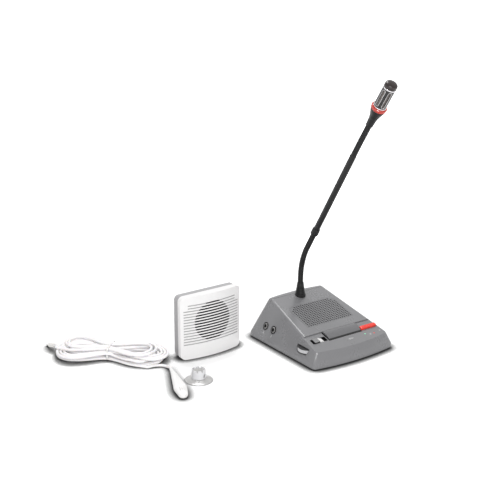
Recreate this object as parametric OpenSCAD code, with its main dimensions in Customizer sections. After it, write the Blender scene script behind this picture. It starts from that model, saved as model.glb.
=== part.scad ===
// Teller window intercom: the clerk's desk console with its gooseneck microphone, and the
// customer's side kit of a wall speaker, a small microphone on a white cable and a suction cup.
// The set stands on one counter. +Z is up, the console faces -Y, millimetres throughout.

/* [Layout] */
// Middle of the console's front edge, across the counter
console_x = 103.5; // [95:0.5:130]
// Console's front edge, towards the clerk when negative
console_y = -46; // [-60:1:-30]
// Middle of the customer speaker's front, across the counter
speaker_x = -55.5; // [-70:0.5:-50]
// Customer speaker's front, along the counter
speaker_y = 94; // [80:1:130]
// Suction cup centre, across the counter
cup_x = -122; // [-130:1:-110]
// Suction cup centre, along the counter
cup_y = 24; // [10:1:40]
// Cable end of the customer microphone, across the counter
capmic_x = -146; // [-160:1:-130]
// Cable end of the customer microphone, along the counter
capmic_y = 54; // [40:1:70]
// Heading of the customer microphone's nose, degrees from +X
capmic_turn = -110; // [-120:1:-100]

/* [Console housing] */
// Width at the skirt
body_w = 150; // [140:1:170]
// Depth at the skirt, measured at the corners
body_d = 160; // [155:1:175]
// Height of the ridge above the counter
body_h = 62.5; // [60:0.5:70]
// Width of the top along the ridge
top_w = 100; // [96:1:110]
// Height of the upright skirt
skirt_h = 8; // [6:0.5:10]
// Ridge set in from the rear of the skirt
ridge_in = 16; // [12:1:20]
// Depth of the flatter band in front of the ridge
band_d = 7.4; // [6:0.2:10]
// Drop of that band from the ridge to its front
band_drop = 0.5; // [0.3:0.1:1]
// Slope of the sloping top, degrees
slope = 15; // [13:0.5:16]
// Set-back of the front edge of the top
front_in = 4.8; // [4:0.2:7]
// Bulge of the front at the skirt
bow_base = 7.5; // [5:0.5:10]
// Bulge of the front at the edge of the top
bow_top = 5.4; // [4:0.2:8]
// Bulge of the ridge to the rear
bow_ridge = 3.5; // [2:0.5:5]
// Radius of the upright corners in plan
corner_r = 6; // [5:0.5:9]
// Radius of the moulded upper edges
edge_r = 4.5; // [3.5:0.5:5]
// Wall of the moulding
wall = 2.5; // [2:0.1:3]
// Drop from the sloping top to the key ledge
step_d = 1.6; // [1:0.1:2]
// Length of the key ledge up the slope
ledge_v = 37; // [36:0.5:40]
// Gap between the counter and the housing's rim
rim_gap = 2; // [1.5:0.1:3]
// Thickness of the base plate below the rim
base_flange = 1; // [0.8:0.1:1.4]
// Thickness of the base plate inside the rim
base_lip = 2.2; // [1.8:0.1:3]
// Radius of the rubber feet
foot_r = 7; // [5:0.5:8]

/* [Console grille] */
// Grille width
grille_w = 88; // [80:1:92]
// Grille depth up the slope
grille_d = 54; // [48:1:58]
// Middle of the grille up the slope
grille_v = 80.3; // [78:0.1:84]
// Offset of the grille to the right
grille_x = 2; // [0:0.5:3]
// Pitch of the holes
hole_pitch = 4; // [3.8:0.1:5]
// Radius of one hole
hole_r = 0.95; // [0.7:0.05:1.2]
// Radius of the round monitor loudspeaker
monitor_r = 27; // [22:0.5:28]

/* [Keys] */
// Left end of the talk bar
bar_x = -28; // [-30:0.5:-26]
// Length of the talk bar
bar_l = 61; // [56:0.5:62]
// Front edge of the talk bar up the slope
bar_v = 17.4; // [16:0.2:19]
// Radius of the talk bar's crown
crown_r = 21; // [20:0.5:26]
// Travel of the talk bar
bar_travel = 2; // [1.5:0.1:2.2]
// Length of the red button
button_l = 29.6; // [26:0.2:31]
// Width of the red button
button_w = 13.2; // [12:0.2:15]
// Height of the red button above the ledge
button_h = 4.4; // [3:0.1:5]
// Travel of the red button
button_travel = 1.5; // [1:0.1:1.8]
// Gap at the front of both keys
key_gap = 1.4; // [1:0.1:1.6]
// Left end of the slide switch's slot
slot_x = -58; // [-59:0.5:-57]
// Length of the slide switch's slot
slot_l = 26.5; // [26:0.5:27]
// Width of the slide switch's slot
slot_w = 10; // [9:0.2:11]
// Length of the slide switch's knob
knob_l = 9.4; // [8:0.2:10]
// Travel of the slide switch
mode_travel = 5; // [3:0.5:5.5]
// Radius of the volume wheel
wheel_r = 16; // [15.5:0.1:16.2]
// Thickness of the volume wheel
wheel_t = 7.8; // [6:0.1:8]
// Reach of the volume wheel past the housing, at its upper face
wheel_out = 6.3; // [5:0.1:7]
// Volume wheel centre behind the front edge
wheel_y = 34.2; // [33:0.2:36]

/* [Sockets] */
// Bore of the 3.5 mm jack sockets
jack_r = 1.8; // [1.78:0.01:1.85]
// Depth of the jack sockets behind the wall
jack_depth = 13; // [11:0.5:14]
// First socket behind the front edge
jack_y = 108.3; // [104:0.5:110]
// Pitch of the two sockets
jack_pitch = 19.5; // [16:0.5:20]
// Height of the sockets
jack_z = 25; // [23:0.5:28]
// Radius of the recess round a socket
recess_r = 6.5; // [6:0.1:7]

/* [Gooseneck] */
// Neck root behind the front edge
neck_y = 130; // [128:0.5:131]
// Radius of the threaded stub
stub_r = 4; // [3.5:0.1:4.2]
// Radius of the flexible stretches over their ribs
flex_r = 4.3; // [4.1:0.1:4.5]
// Pitch of the ribs
rib_pitch = 2.3; // [2:0.1:3]
// Height where the neck begins to lean
bend_z = 88; // [86:1:94]
// Radius of the lower bend
bend_r = 102; // [90:1:120]
// Lean of the neck's upper part, degrees
neck_lean = 31.5; // [25:0.5:35]
// Radius of the stiff tube
tube_r = 4.7; // [4.5:0.1:5]
// Length of the stiff tube
tube_l = 158; // [140:1:170]
// Radius of the sleeve at the tube's foot
sleeve_r = 6; // [5.5:0.1:7]
// Length of the upper flexible stretch
upper_l = 70; // [60:1:80]
// Bend of the upper flexible stretch, degrees
upper_bend = 2.2; // [1:0.1:6]
// Radius of the microphone cage
cage_r = 10; // [9.5:0.1:11]
// Length of the cage between its bright rings
cage_l = 27; // [26:0.5:32]
// Length of the cap on the cage
cap_l = 12; // [10:0.5:14]
// Radius of the lit ring
ring_r = 11.3; // [11:0.1:12]
// Width of the lit ring
ring_l = 4.5; // [4:0.1:6]

/* [Customer speaker] */
// Width
box_w = 104.5; // [100:0.5:108]
// Height
box_h = 97; // [94:0.5:100]
// Depth of the front cover at its sides
cover_d = 7; // [6.5:0.1:8]
// Depth of the back box
back_d = 11; // [10.5:0.1:14]
// Bulge of the front
box_bow = 7.5; // [7:0.1:9]
// Radius of the corners seen from the front
box_corner = 8; // [6:0.5:10]
// Wall of both shells
box_wall = 2; // [1.8:0.1:2.3]
// Number of lines across the front
lines = 15; // [13:1:16]
// Pitch of the lines
line_pitch = 4.3; // [4.1:0.1:4.5]
// Width of one line
line_w = 1.7; // [1.4:0.1:2]
// Height of the lowest line
line_z = 22.4; // [21:0.2:24]
// Radius of the round field of open slots
field_r = 30.3; // [28:0.1:31]
// Spacing of the wall screws
screw_pitch = 60; // [50:1:64]
// Radius of the wall screw holes
screw_r = 2.1; // [2:0.05:2.4]

/* [Customer microphone and cup] */
// Length of the microphone's shells
capmic_l = 76; // [70:1:80]
// Width of the microphone
capmic_w = 18.8; // [17:0.2:20]
// Thickness of the microphone
capmic_t = 12; // [11:0.2:13]
// Radius of the suction cup
cup_r = 19.5; // [18:0.5:22]
// Height of the cup with its collar
cup_h = 17; // [16:0.5:18]
// Bore through the cup's stem, for the microphone's cable
clip_r = 2.3; // [2.2:0.05:2.5]

/* [Cable] */
// Diameter of the cable
cord_d = 4; // [4:0.1:4.2]

/* [Hidden] */

// Clearances: sliding keys, pieces laid face to face beside a wall, and round running fits.
side_gap = 0.4;
fit_gap = 0.2;
run_gap = 0.05;
seat_gap = 0.05;
small = 0.01;

// --- Console shape. A face of the housing is a line n.p = d in side or front view.
band_y = body_d - ridge_in - band_d;
band_z = body_h - band_drop;
crease_z = band_z - (band_y - front_in) * tan(slope);
side_a = atan((body_w - top_w) / 2 / (body_h - skirt_h));
rear_a = atan(ridge_in / (body_h - skirt_h));
front_a = atan(front_in / (crease_z - skirt_h));
band_a = atan(band_drop / band_d);
side_n = [cos(side_a), sin(side_a)];
side_d = side_n * [body_w / 2, skirt_h];
n_top = [-sin(slope), cos(slope)];
n_band = [-sin(band_a), cos(band_a)];
n_rear = [cos(rear_a), sin(rear_a)];
n_front = [-cos(front_a), sin(front_a)];
d_top = n_top * [band_y, band_z];
d_band = n_band * [band_y, band_z];
d_rear = n_rear * [body_d, skirt_h];
d_front = n_front * [0, skirt_h];
// Where two faces cross once both are moved in by the edge radius.
function cross_at(n, d, m, e) = let(k = n.x * m.y - n.y * m.x, p = d - edge_r, q = e - edge_r)
    [(p * m.y - q * n.y) / k, (n.x * q - m.x * p) / k];
// Half width of the sloping sides at a height, moved in by m.
function side_x(z, m) = (side_d - m - z * side_n.y) / side_n.x;
front_c = cross_at(n_front, d_front, n_top, d_top);
crease_c = cross_at(n_top, d_top, n_band, d_band);
ridge_c = cross_at(n_band, d_band, n_rear, d_rear);
// The plan of the skirt is four corner arcs and a long front arc, all tangent.
corner_x = body_w / 2 - corner_r;
front_r = (pow(body_w / 2, 2) + pow(bow_base, 2)) / (2 * bow_base);
front_yc = front_r - bow_base;
corner_y = front_yc - sqrt(pow(front_r - corner_r, 2) - pow(corner_x, 2));
front_half = asin(corner_x / (front_r - corner_r));
function arc(c, r, a0, a1, n) = [for (i = [0:n]) c + r * [cos(a0 + (a1 - a0) * i / n),
    sin(a0 + (a1 - a0) * i / n)]];
function plan(m) = concat(
    arc([corner_x, body_d - corner_r], corner_r - m, 0, 90, 6),
    arc([-corner_x, body_d - corner_r], corner_r - m, 90, 180, 6),
    arc([-corner_x, corner_y], corner_r - m, 180, 270 - front_half, 5),
    arc([0, front_yc], front_r - m, 270 - front_half * 0.9, 270 + front_half * 0.9, 10),
    arc([corner_x, corner_y], corner_r - m, 270 + front_half, 360, 5));

// --- Places inside the console.
base_z = rim_gap - base_flange;
floor_z = rim_gap + base_lip;
roof = wall + step_d;
bosses = [[-40, 12], [40, 12], [-42, 128], [42, 128]];
boss_r = 4;
boss_top = [25.6, 25.6, 56.5, 56.5];
screw_hole_r = 1.6;
head_r = 3;
feet = [[-60, 30], [60, 30], [-60, 142], [60, 142]];
foot_sunk = 1.2;
grille_t = wall;
gasket_t = 4;
monitor_w = -grille_t - 1 - gasket_t;
monitor_posts = [for (x = [-22, 22], v = [-1, 1]) [x, v * (grille_d / 2 + 4.6)]];
board = [88, 60];
board_y = 52;
board_z = 8;
board_t = 1.6;
board_posts = [for (x = [-38, 38], y = [board_y + 6, board_y + board.y - 6]) [x, y]];
key_w = -16;
key_posts = [for (x = [-24, 58], v = [12.2, 41.6]) [x, v]];
skirt_w = -8.5;
lip_w = -roof - side_gap;
lip_t = 1.4;
button_x = bar_x + bar_l + side_gap + button_l / 2;
button_v = bar_v + button_w / 2;
// The talk bar's crown passes the rear of the ledge at the height of the sloping top.
crown_v = ledge_v - sqrt(pow(crown_r, 2) - pow(crown_r - 1.2, 2));
switch_top = skirt_w - bar_travel - 0.7;
talk_x = [bar_x + 14, bar_x + bar_l - 14];
plunger_r = 1.7;
slot_v = 22.8;
switch_t = 2.2;
wheel_top = 23.6;
wheel_z = wheel_top - wheel_t;
wheel_x = -side_x(wheel_top, 0) + wheel_r - wheel_out;
shaft_r = 3;
pot_top = 12.4;
jacks = [jack_y, jack_y + jack_pitch];
side_wall = side_x(jack_z, 0) * side_n.x - side_x(jack_z, wall) * side_n.x;
recess_d = 1.2;
bush_r = 3;
inlet_x = 30;
inlet_z = 22;
inlet_r = 3.9;
leds = [[33, 9.4], [48, 6]];

// --- Neck. The lean starts at bend_z and the tube's line is measured from the corner point.
top_z = crease_z + (neck_y - front_in) * tan(slope);
boot_top = top_z + 20;
flex_z = boot_top - 4;
nut_z = 50;
turn_l = bend_r * tan(neck_lean / 2);
bend_l = bend_r * neck_lean * PI / 180;
knee = 0.5;
sleeve_s = 62;
tube_end = sleeve_s + tube_l;
upper_r = upper_l / (upper_bend * PI / 180);
boot_back = 14;
boot_l = 16.5;
trim_l = 2;
window = [7.4, 21];
trim_w = 0.8;

// --- Customer speaker.
box_r = (pow(box_w / 2, 2) + pow(box_bow, 2)) / (2 * box_bow);
box_yc = box_r - box_bow;
edge_fillet = 3;
fillet_x = box_w / 2 - edge_fillet;
fillet_y = box_yc - sqrt(pow(box_r - edge_fillet, 2) - pow(fillet_x, 2));
fillet_half = asin(fillet_x / (box_r - edge_fillet));
back_in = 0.7;
field_z = line_z + (lines - 1) / 2 * line_pitch + line_pitch / 2;
driver_r = 28.5;
groove_d = 0.8;
corner_bosses = [for (x = [-1, 1], z = [12, box_h - 12]) [x * 42, z]];
back_y = cover_d + back_d;

// --- Cable. The hank is a bone of two lobes drawn in at a waist, wound clockwise.
cord_r = cord_d / 2;
hank_x = -183.5;
hank_y = 168;
hank_turn = 134;
hank_lift = 0;
lobe_r = 30;
lobe_x = 52;
waist_y = 15;
waist_r = 13;
loop_step = cord_d + 0.6;
layer_step = cord_d + 0.5;
per_layer = 3;
tangent_a = atan2(waist_y + waist_r, lobe_x)
    + acos((lobe_r + waist_r) / norm([lobe_x, waist_y + waist_r]));
lobe_sweep = 360 - 2 * tangent_a;
waist_sweep = 180 - 2 * tangent_a;
// One station is [centre of its arc, radius, direction, growth of radius per inward step].
function lobe_station(s, a) = [[s * lobe_x, 0], lobe_r, a, -1];
function waist_station(s, a) = [[0, s * (waist_y + waist_r)], waist_r, a, 1];
right_lobe = [for (i = [0:8]) lobe_station(-1, -tangent_a - lobe_sweep * i / 8)];
left_lobe = [for (i = [0:8]) lobe_station(1, 180 - tangent_a - lobe_sweep * i / 8)];
front_waist = [for (i = [0:2]) waist_station(1, 180 + tangent_a + waist_sweep * i / 2)];
rear_waist = [for (i = [0:2]) waist_station(-1, tangent_a + waist_sweep * i / 2)];
stations = concat([right_lobe[7], right_lobe[8]], front_waist, left_lobe, rear_waist,
    [for (i = [0:6]) right_lobe[i]]);
loop_n = len(stations);
turns = 11;
last_station = turns * loop_n + 7;
climb = [-0.125, 0.208];
function zigzag(t) = let(m = t % (2 * per_layer)) m < per_layer ? m : 2 * per_layer - m;
function ease(u) = let(c = min(1, max(0, u))) c * c * (3 - 2 * c);
function layer_at(t) = let(k = round(t / per_layer)) k < 1 ? 0 : k - 1
    + ease((t - k * per_layer - climb[0]) / (climb[1] - climb[0]));
function hank_flat(t, i) = let(s = stations[i])
    s[0] + (s[1] + s[3] * loop_step * zigzag(t)) * [cos(s[2]), sin(s[2])];
function hank_point(k) = let(t = k / loop_n, p = hank_flat(t, k % loop_n),
    z = cord_r + hank_lift + layer_step * layer_at(t),
    c = cos(hank_turn), s = sin(hank_turn))
    [hank_x + c * p.x - s * p.y, hank_y + s * p.x + c * p.y, z];
function toward(p, q, l) = p + l * (q - p) / norm(q - p);
hank_core = [for (k = [0:last_station]) hank_point(k)];
hank_route = concat([toward(hank_core[0], hank_core[1], -cord_d)], hank_core,
    [toward(hank_core[last_station], hank_core[last_station - 1], -cord_d)]);
// Free stretches: points set by hand between the ends that they meet.
lead_mid = [[-138.6, 77, 4.2], [-137.8, 84, 2.4], [-140, 91, 2], [-146, 95.8, 2], [-152.3, 98.2, 2]];
plug_root = [-246.9, 222, 14];
plug_dir = [0.05, 0.94, -0.34] / norm([0.05, 0.94, -0.34]);
plug_l = 22;
relief_l = 14;
lead_root = [capmic_x, capmic_y, capmic_t / 2]
    - relief_l * [cos(capmic_turn), sin(capmic_turn), 0];

// --- Swept tubes: rings square to the path, faces are triangles.
function unit(v) = v / norm(v);
function dir_at(p, i) = unit(p[min(i + 1, len(p) - 1)] - p[max(i - 1, 0)]);
function ring(c, t, up, r, n) = let(u = unit(cross(t, up)), v = cross(u, t))
    [for (j = [0:n - 1]) c + r * (cos(360 * (j + 0.5) / n) * u + sin(360 * (j + 0.5) / n) * v)];
module tube(p, radii, n, up, d0 = [0, 0, 0], d1 = [0, 0, 0]) {
    m = len(p) - 1;
    rings = [for (i = [0:m]) ring(p[i], i == 0 && norm(d0) > 0 ? d0
        : i == m && norm(d1) > 0 ? d1 : dir_at(p, i), up, radii[i], n)];
    sides = [for (i = [0:m - 1], j = [0:n - 1], h = [0, 1]) let(a = i * n + j,
        b = i * n + (j + 1) % n) h == 0 ? [a, b, b + n] : [a, b + n, a + n]];
    caps = [for (j = [1:n - 2], h = [0, 1]) h == 0 ? [0, j + 1, j]
        : [m * n, m * n + j, m * n + j + 1]];
    polyhedron([for (r = rings) each r], concat(sides, caps));
}
function same(p, r) = [for (q = p) r];
function path_length(p) = len(p) < 2 ? 0
    : [for (i = [0:len(p) - 2]) norm(p[i + 1] - p[i])] * [for (i = [0:len(p) - 2]) 1];

// --- Frames of the console.
module at_console() { translate([console_x, console_y, 0]) children(); }
module on_slope() { at_console() translate([0, front_in, crease_z]) rotate([slope, 0, 0]) children(); }
module on_side(y, z) {
    at_console() translate([-side_x(z, 0), y, z]) rotate([0, side_a - 90, 0]) children();
}
module on_rear(x, z) {
    at_console() translate([x, (d_rear - z * n_rear.y) / n_rear.x, z])
        rotate([rear_a - 90, 0, 0]) children();
}
module slab(lo, hi) { translate(lo) cube(hi - lo); }

// --- Console housing.
module body_form(m) {
    hull() {
        translate([0, 0, m > 0 ? 0 : rim_gap]) linear_extrude(skirt_h - (m > 0 ? 0 : rim_gap))
            polygon(plan(m));
        for (i = [-3:3]) let(k = 1 - pow(i / 3, 2))
            translate([side_x(front_c.y, edge_r) * i / 3, front_c.x - bow_top * k,
                front_c.y - bow_top * k * tan(slope)]) sphere(edge_r - m, $fn = 24);
        for (i = [-1, 1])
            translate([side_x(crease_c.y, edge_r) * i, crease_c.x, crease_c.y])
                sphere(edge_r - m, $fn = 24);
        for (i = [-2:2]) let(k = 1 - pow(i / 2, 2))
            translate([side_x(ridge_c.y, edge_r) * i / 2, ridge_c.x + bow_ridge * k,
                ridge_c.y + bow_ridge * k * tan(band_a)]) sphere(edge_r - m, $fn = 24);
    }
}
// Rounded rectangle whose far corners have their own radius, centred.
function grille_plan(m) = let(w = grille_w / 2 + m, d = grille_d / 2 + m, f = 2 + m, r = 11 + m)
    concat(arc([w - r, d - r], r, 0, 90, 8), arc([r - w, d - r], r, 90, 180, 8),
        arc([f - w, f - d], f, 180, 270, 4), arc([w - f, f - d], f, 270, 360, 4));
module key_openings(z0, h) {
    translate([0, 0, z0]) linear_extrude(h) {
        translate([bar_x - 2, bar_v - key_gap])
            square([bar_l + 2 + side_gap, ledge_v + side_gap - bar_v + key_gap]);
        translate([bar_x + bar_l, bar_v - key_gap])
            square([button_l + 2 * side_gap, button_w + key_gap + side_gap]);
        translate([slot_x, slot_v - slot_w / 2]) square([slot_l, slot_w]);
    }
}
module housing() color([0.47, 0.47, 0.48]) {
    difference() {
        union() {
            difference() {
                at_console() body_form(0);
                difference() {
                    at_console() body_form(wall);
                    on_slope() slab([-90, -30, -roof], [90, ledge_v + wall, 9]);
                }
                at_console() slab([-80, -12, -1], [80, 170, rim_gap]);
            }
            for (i = [0:3]) at_console() translate([bosses[i].x, bosses[i].y, floor_z])
                cylinder(r = boss_r, h = boss_top[i] - floor_z, $fn = 32);
            intersection() {
                at_console() translate([0, neck_y, nut_z]) cylinder(r = 10, h = 20, $fn = 48);
                on_slope() slab([-20, 100, -40], [20, 150, -1]);
            }
            for (p = key_posts) on_slope() translate([p.x, p.y, key_w])
                cylinder(r = 2.5, h = -key_w - step_d - 0.6, $fn = 24);
            for (p = monitor_posts) on_slope() translate([grille_x + p.x, grille_v + p.y, monitor_w])
                cylinder(r = 2.4, h = -monitor_w - 1, $fn = 24);
        }
        on_slope() slab([-90, -30, -step_d], [90, ledge_v, 9]);
        on_slope() translate([grille_x, grille_v, -6]) linear_extrude(9) polygon(grille_plan(0));
        on_slope() key_openings(-9, 12);
        for (p = leds) on_slope() translate([p.x, p.y, -8]) cylinder(r = 1.6, h = 9, $fn = 24);
        for (p = key_posts) on_slope() translate([p.x, p.y, key_w - 1])
            cylinder(r = 1.2, h = 9, $fn = 24);
        for (p = monitor_posts) on_slope() translate([grille_x + p.x, grille_v + p.y, monitor_w - 1])
            cylinder(r = 1.2, h = 5, $fn = 24);
        for (p = bosses) at_console() translate([p.x, p.y, 0])
            cylinder(r = screw_hole_r, h = 17, $fn = 24);
        at_console() translate([wheel_x, wheel_y, wheel_z - 0.9])
            cylinder(r = wheel_r + 0.9, h = wheel_t + 1.8, $fn = 64);
        for (y = jacks) on_side(y, jack_z) {
            translate([0, 0, -recess_d]) cylinder(r = recess_r, h = 9, $fn = 48);
            translate([0, 0, -8]) cylinder(r = bush_r + fit_gap, h = 9, $fn = 32);
        }
        on_rear(inlet_x, inlet_z) translate([0, 0, -8]) cylinder(r = inlet_r + fit_gap, h = 12, $fn = 40);
        at_console() translate([0, neck_y, nut_z - 1]) cylinder(r = stub_r + fit_gap, h = 30, $fn = 40);
    }
}
module speaker_grille() color([0.44, 0.44, 0.45]) on_slope() translate([grille_x, grille_v, 0]) {
    nx = floor((grille_w - 6) / 2 / hole_pitch);
    ny = floor((grille_d - 5) / 2 / hole_pitch);
    translate([0, 0, -grille_t - 2 * seat_gap]) linear_extrude(grille_t + 2 * seat_gap) difference() {
        polygon(grille_plan(-fit_gap));
        for (i = [-nx:nx]) translate([i * hole_pitch, 0]) {
            cut = abs(i) > nx - 1 ? 2 : abs(i) > nx - 2 ? 1 : 0;
            for (j = [-ny:ny - cut]) translate([0, j * hole_pitch]) circle(hole_r, $fn = 16);
        }
    }
    translate([0, 0, -grille_t - 1]) linear_extrude(1 - seat_gap) difference() {
        polygon(grille_plan(2));
        polygon(grille_plan(-1.4));
    }
}
module base_plate() color([0.1, 0.1, 0.1]) at_console() difference() {
    union() {
        translate([0, 0, base_z]) linear_extrude(base_flange) polygon(plan(0.8));
        translate([0, 0, base_z]) linear_extrude(floor_z - base_z) polygon(plan(wall + fit_gap));
        for (p = board_posts) translate([p.x, p.y, floor_z - small])
            cylinder(r = 3, h = board_z - floor_z + small, $fn = 24);
        translate([wheel_x, wheel_y, floor_z - small]) cylinder(r = 9, h = 2.3, $fn = 32);
    }
    for (p = bosses) translate([p.x, p.y, 0]) {
        cylinder(r = head_r + fit_gap, h = floor_z - 1, $fn = 32);
        cylinder(r = screw_hole_r, h = 9, $fn = 24);
    }
    for (p = feet) translate([p.x, p.y, 0]) cylinder(r = foot_r + 0.1, h = base_z + foot_sunk, $fn = 48);
    for (p = board_posts) translate([p.x, p.y, board_z - 3.5]) cylinder(r = 1.2, h = 9, $fn = 24);
}
module rubber_feet() color([0.06, 0.06, 0.06]) at_console() for (p = feet) translate(p)
    cylinder(r = foot_r, h = base_z + foot_sunk, $fn = 48);
module base_screws() color([0.75, 0.75, 0.76]) at_console() for (p = bosses)
    translate([p.x, p.y, 0]) difference() {
        union() {
            translate([0, 0, base_z + 0.4]) cylinder(r = head_r, h = floor_z - 1.4 - base_z, $fn = 32);
            cylinder_between(floor_z - 1 - small, 15, screw_hole_r - 0.1);
        }
        translate([-2, -0.4, 0]) cube([4, 0.8, base_z + 1.2]);
    }
module cylinder_between(z0, z1, r) { translate([0, 0, z0]) cylinder(r = r, h = z1 - z0, $fn = 32); }

// --- Monitor loudspeaker under the console's grille, face up the slope's normal.
module at_monitor() { on_slope() translate([grille_x, grille_v, monitor_w]) children(); }
module monitor_basket() color([0.6, 0.6, 0.6]) at_monitor() difference() {
    union() {
        slab([-26, -grille_d / 2 - 7.5, -1.2], [26, grille_d / 2 + 7.5, 0]);
        cylinder(r = monitor_r - 0.6, h = gasket_t, $fn = 64);
        translate([0, 0, -13]) cylinder(r1 = 14, r2 = monitor_r - 1.5, h = 12, $fn = 64);
    }
    translate([0, 0, -1]) cylinder(r = monitor_r - 3, h = 9, $fn = 64);
    translate([0, 0, -11.8]) cylinder(r1 = 13, r2 = monitor_r - 3, h = 10.9, $fn = 64);
    translate([0, 0, -14]) cylinder(r = 7, h = 9, $fn = 48);
    for (a = [45:90:315]) rotate(a) translate([monitor_r - 8.5, 0, -14]) cylinder(r = 3, h = 12, $fn = 32);
    for (p = monitor_posts) translate([p.x, p.y, -3]) cylinder(r = 1.4, h = 9, $fn = 24);
}
module monitor_cone() color([0.12, 0.12, 0.12]) at_monitor() rotate_extrude($fn = 64)
    polygon([[monitor_r - 3.2, 0.4], [monitor_r - 5, 0.4], [7, -9.6], [0, -8.2], [0, -9],
        [6.4, -10.9], [12, -10.9], [monitor_r - 4.2, -0.9], [monitor_r - 3.2, -0.4]]);
module monitor_magnet() color([0.3, 0.3, 0.32]) at_monitor() {
    cylinder_between(-20, -13 - small, 15);
    translate([0, 0, -21]) cylinder(r = 13, h = 1 + small, $fn = 32);
}
module monitor_screws() color([0.75, 0.75, 0.76]) at_monitor() for (p = monitor_posts)
    translate([p.x, p.y, 0]) {
        cylinder_between(-2.6, -1.2, 2.4);
        cylinder_between(-1.2 - small, 3.5, 1.1);
    }

// --- Boards.
module main_board() color([0.1, 0.35, 0.18]) at_console() difference() {
    translate([-board.x / 2, board_y, board_z]) cube([board.x, board.y, board_t]);
    for (p = board_posts) translate([p.x, p.y, 0]) cylinder(r = 1.4, h = 20, $fn = 24);
}
module board_parts() color([0.15, 0.15, 0.17]) at_console() translate([0, 0, board_z + board_t]) {
    for (p = [[-20, 100], [-6, 100], [28, 62]]) translate(p) cylinder(r = 5, h = 8, $fn = 32);
    slab([8, 94, 0], [28, 102, 7]);
    for (x = [-26, 0]) slab([x, 62, 0], [x + 12, 70, 2.5]);
    slab([-40, 78, 0], [-32, 96, 6]);
}
module board_screws() color([0.75, 0.75, 0.76]) {
    at_console() for (p = board_posts) translate([p.x, p.y, 0]) {
        cylinder_between(board_z + board_t, board_z + board_t + 1.6, 2.4);
        cylinder_between(board_z - 3, board_z + board_t + small, 1.1);
    }
    on_slope() for (p = key_posts) translate([p.x, p.y, 0]) {
        cylinder_between(key_w - board_t - 1.6, key_w - board_t, 2.4);
        cylinder_between(key_w - board_t - small, key_w + 6, 1.1);
    }
}
module key_board() color([0.1, 0.35, 0.18]) on_slope() difference() {
    slab([-28, 9.4, key_w - board_t], [62, 44.6, key_w]);
    for (p = key_posts) translate([p.x, p.y, -20]) cylinder(r = 1.4, h = 9, $fn = 24);
}
module at_key_switches() {
    on_slope() {
        for (x = talk_x) translate([x, crown_v - 2, 0]) children();
        translate([button_x, button_v, 0]) children();
    }
}
module key_switches() color([0.08, 0.08, 0.09]) at_key_switches() difference() {
    slab([-4, -4, key_w], [4, 4, switch_top]);
    translate([0, 0, key_w + 0.4]) cylinder(r = plunger_r + 2 * run_gap, h = 9, $fn = 32);
}

// --- Keys.
module talk_bar() color([0.45, 0.45, 0.46]) on_slope() {
    x1 = bar_x + bar_l;
    difference() {
        intersection() {
            slab([bar_x, bar_v, skirt_w], [x1, ledge_v, 9]);
            translate([bar_x - 1, crown_v, 1.2 - crown_r]) rotate([0, 90, 0])
                cylinder(r = crown_r, h = bar_l + 2, $fn = 96);
        }
        intersection() {
            slab([bar_x + 1.6, bar_v + 1.6, skirt_w - 1], [x1 - 1.6, ledge_v - 1.6, 9]);
            translate([bar_x, crown_v, 1.2 - crown_r]) rotate([0, 90, 0])
                cylinder(r = crown_r - 2, h = bar_l, $fn = 96);
        }
    }
    for (v = [bar_v - key_gap - 0.6, ledge_v - 1])
        slab([bar_x + 2, v, lip_w - lip_t], [x1 - 2, v + key_gap + 1.2, lip_w]);
    for (x = talk_x) slab([x - 2, bar_v + 1, skirt_w], [x + 2, ledge_v - 1, -2.5]);
}
module plunger() { cylinder_between(skirt_w - 4.5, skirt_w, plunger_r); }
module talk_plungers() color([0.8, 0.78, 0.7]) on_slope() for (x = talk_x)
    translate([x, crown_v - 2, 0]) plunger();
module red_button() color([0.86, 0.18, 0.14]) on_slope() translate([button_x, button_v, 0]) {
    r = 5;
    dx = button_l / 2 - r;
    dv = button_w / 2 - r;
    difference() {
        hull() {
            for (x = [-dx, dx], v = [-dv, dv]) translate([x, v, 0]) {
                translate([0, 0, button_h - step_d - r + 1]) sphere(r, $fn = 32);
                translate([0, 0, skirt_w]) cylinder(r = r, h = 4, $fn = 32);
            }
        }
        slab([-dx - r + 1.6, -dv - r + 1.6, skirt_w - 1], [dx + r - 1.6, dv + r - 1.6, -3.5]);
        translate([0, 0, button_h - step_d]) cube([90, 90, 2], center = true);
    }
    slab([-2, -dv - r + 1, skirt_w], [2, dv + r - 1, -3]);
    for (s = [-1, 1]) translate([0, s * (button_w / 2 + (s < 0 ? key_gap : side_gap) / 2), 0])
        slab([-10, -1.4, lip_w - lip_t], [10, 1.4, lip_w]);
}
module button_plunger() color([0.8, 0.78, 0.7]) on_slope()
    translate([button_x, button_v, 0]) plunger();
module mode_switch() color([0.05, 0.05, 0.05]) on_slope() difference() {
    slab([slot_x - 2, slot_v - slot_w / 2 - 2.6, -roof - switch_t],
        [slot_x + slot_l + 1, slot_v + slot_w / 2 + 2.6, -roof]);
    slab([slot_x, slot_v - slot_w / 2, -roof - 1.2], [slot_x + slot_l, slot_v + slot_w / 2, 0]);
}
knob_x = slot_x + 2.8;
mark_l = 8.6;
module mode_knob() color([0.5, 0.5, 0.51]) on_slope() translate([knob_x, slot_v, 0]) difference() {
    union() {
        slab([0, side_gap - slot_w / 2, -roof - 1.1], [knob_l + mark_l, slot_w / 2 - side_gap, -roof - 0.1]);
        slab([0, side_gap - slot_w / 2, -roof - 0.2], [knob_l, slot_w / 2 - side_gap, 0.6]);
    }
    for (i = [1:3]) translate([i * knob_l / 4, 9, 0.9]) rotate([90, 0, 0]) cylinder(r = 0.7, h = 18, $fn = 24);
}
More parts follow.
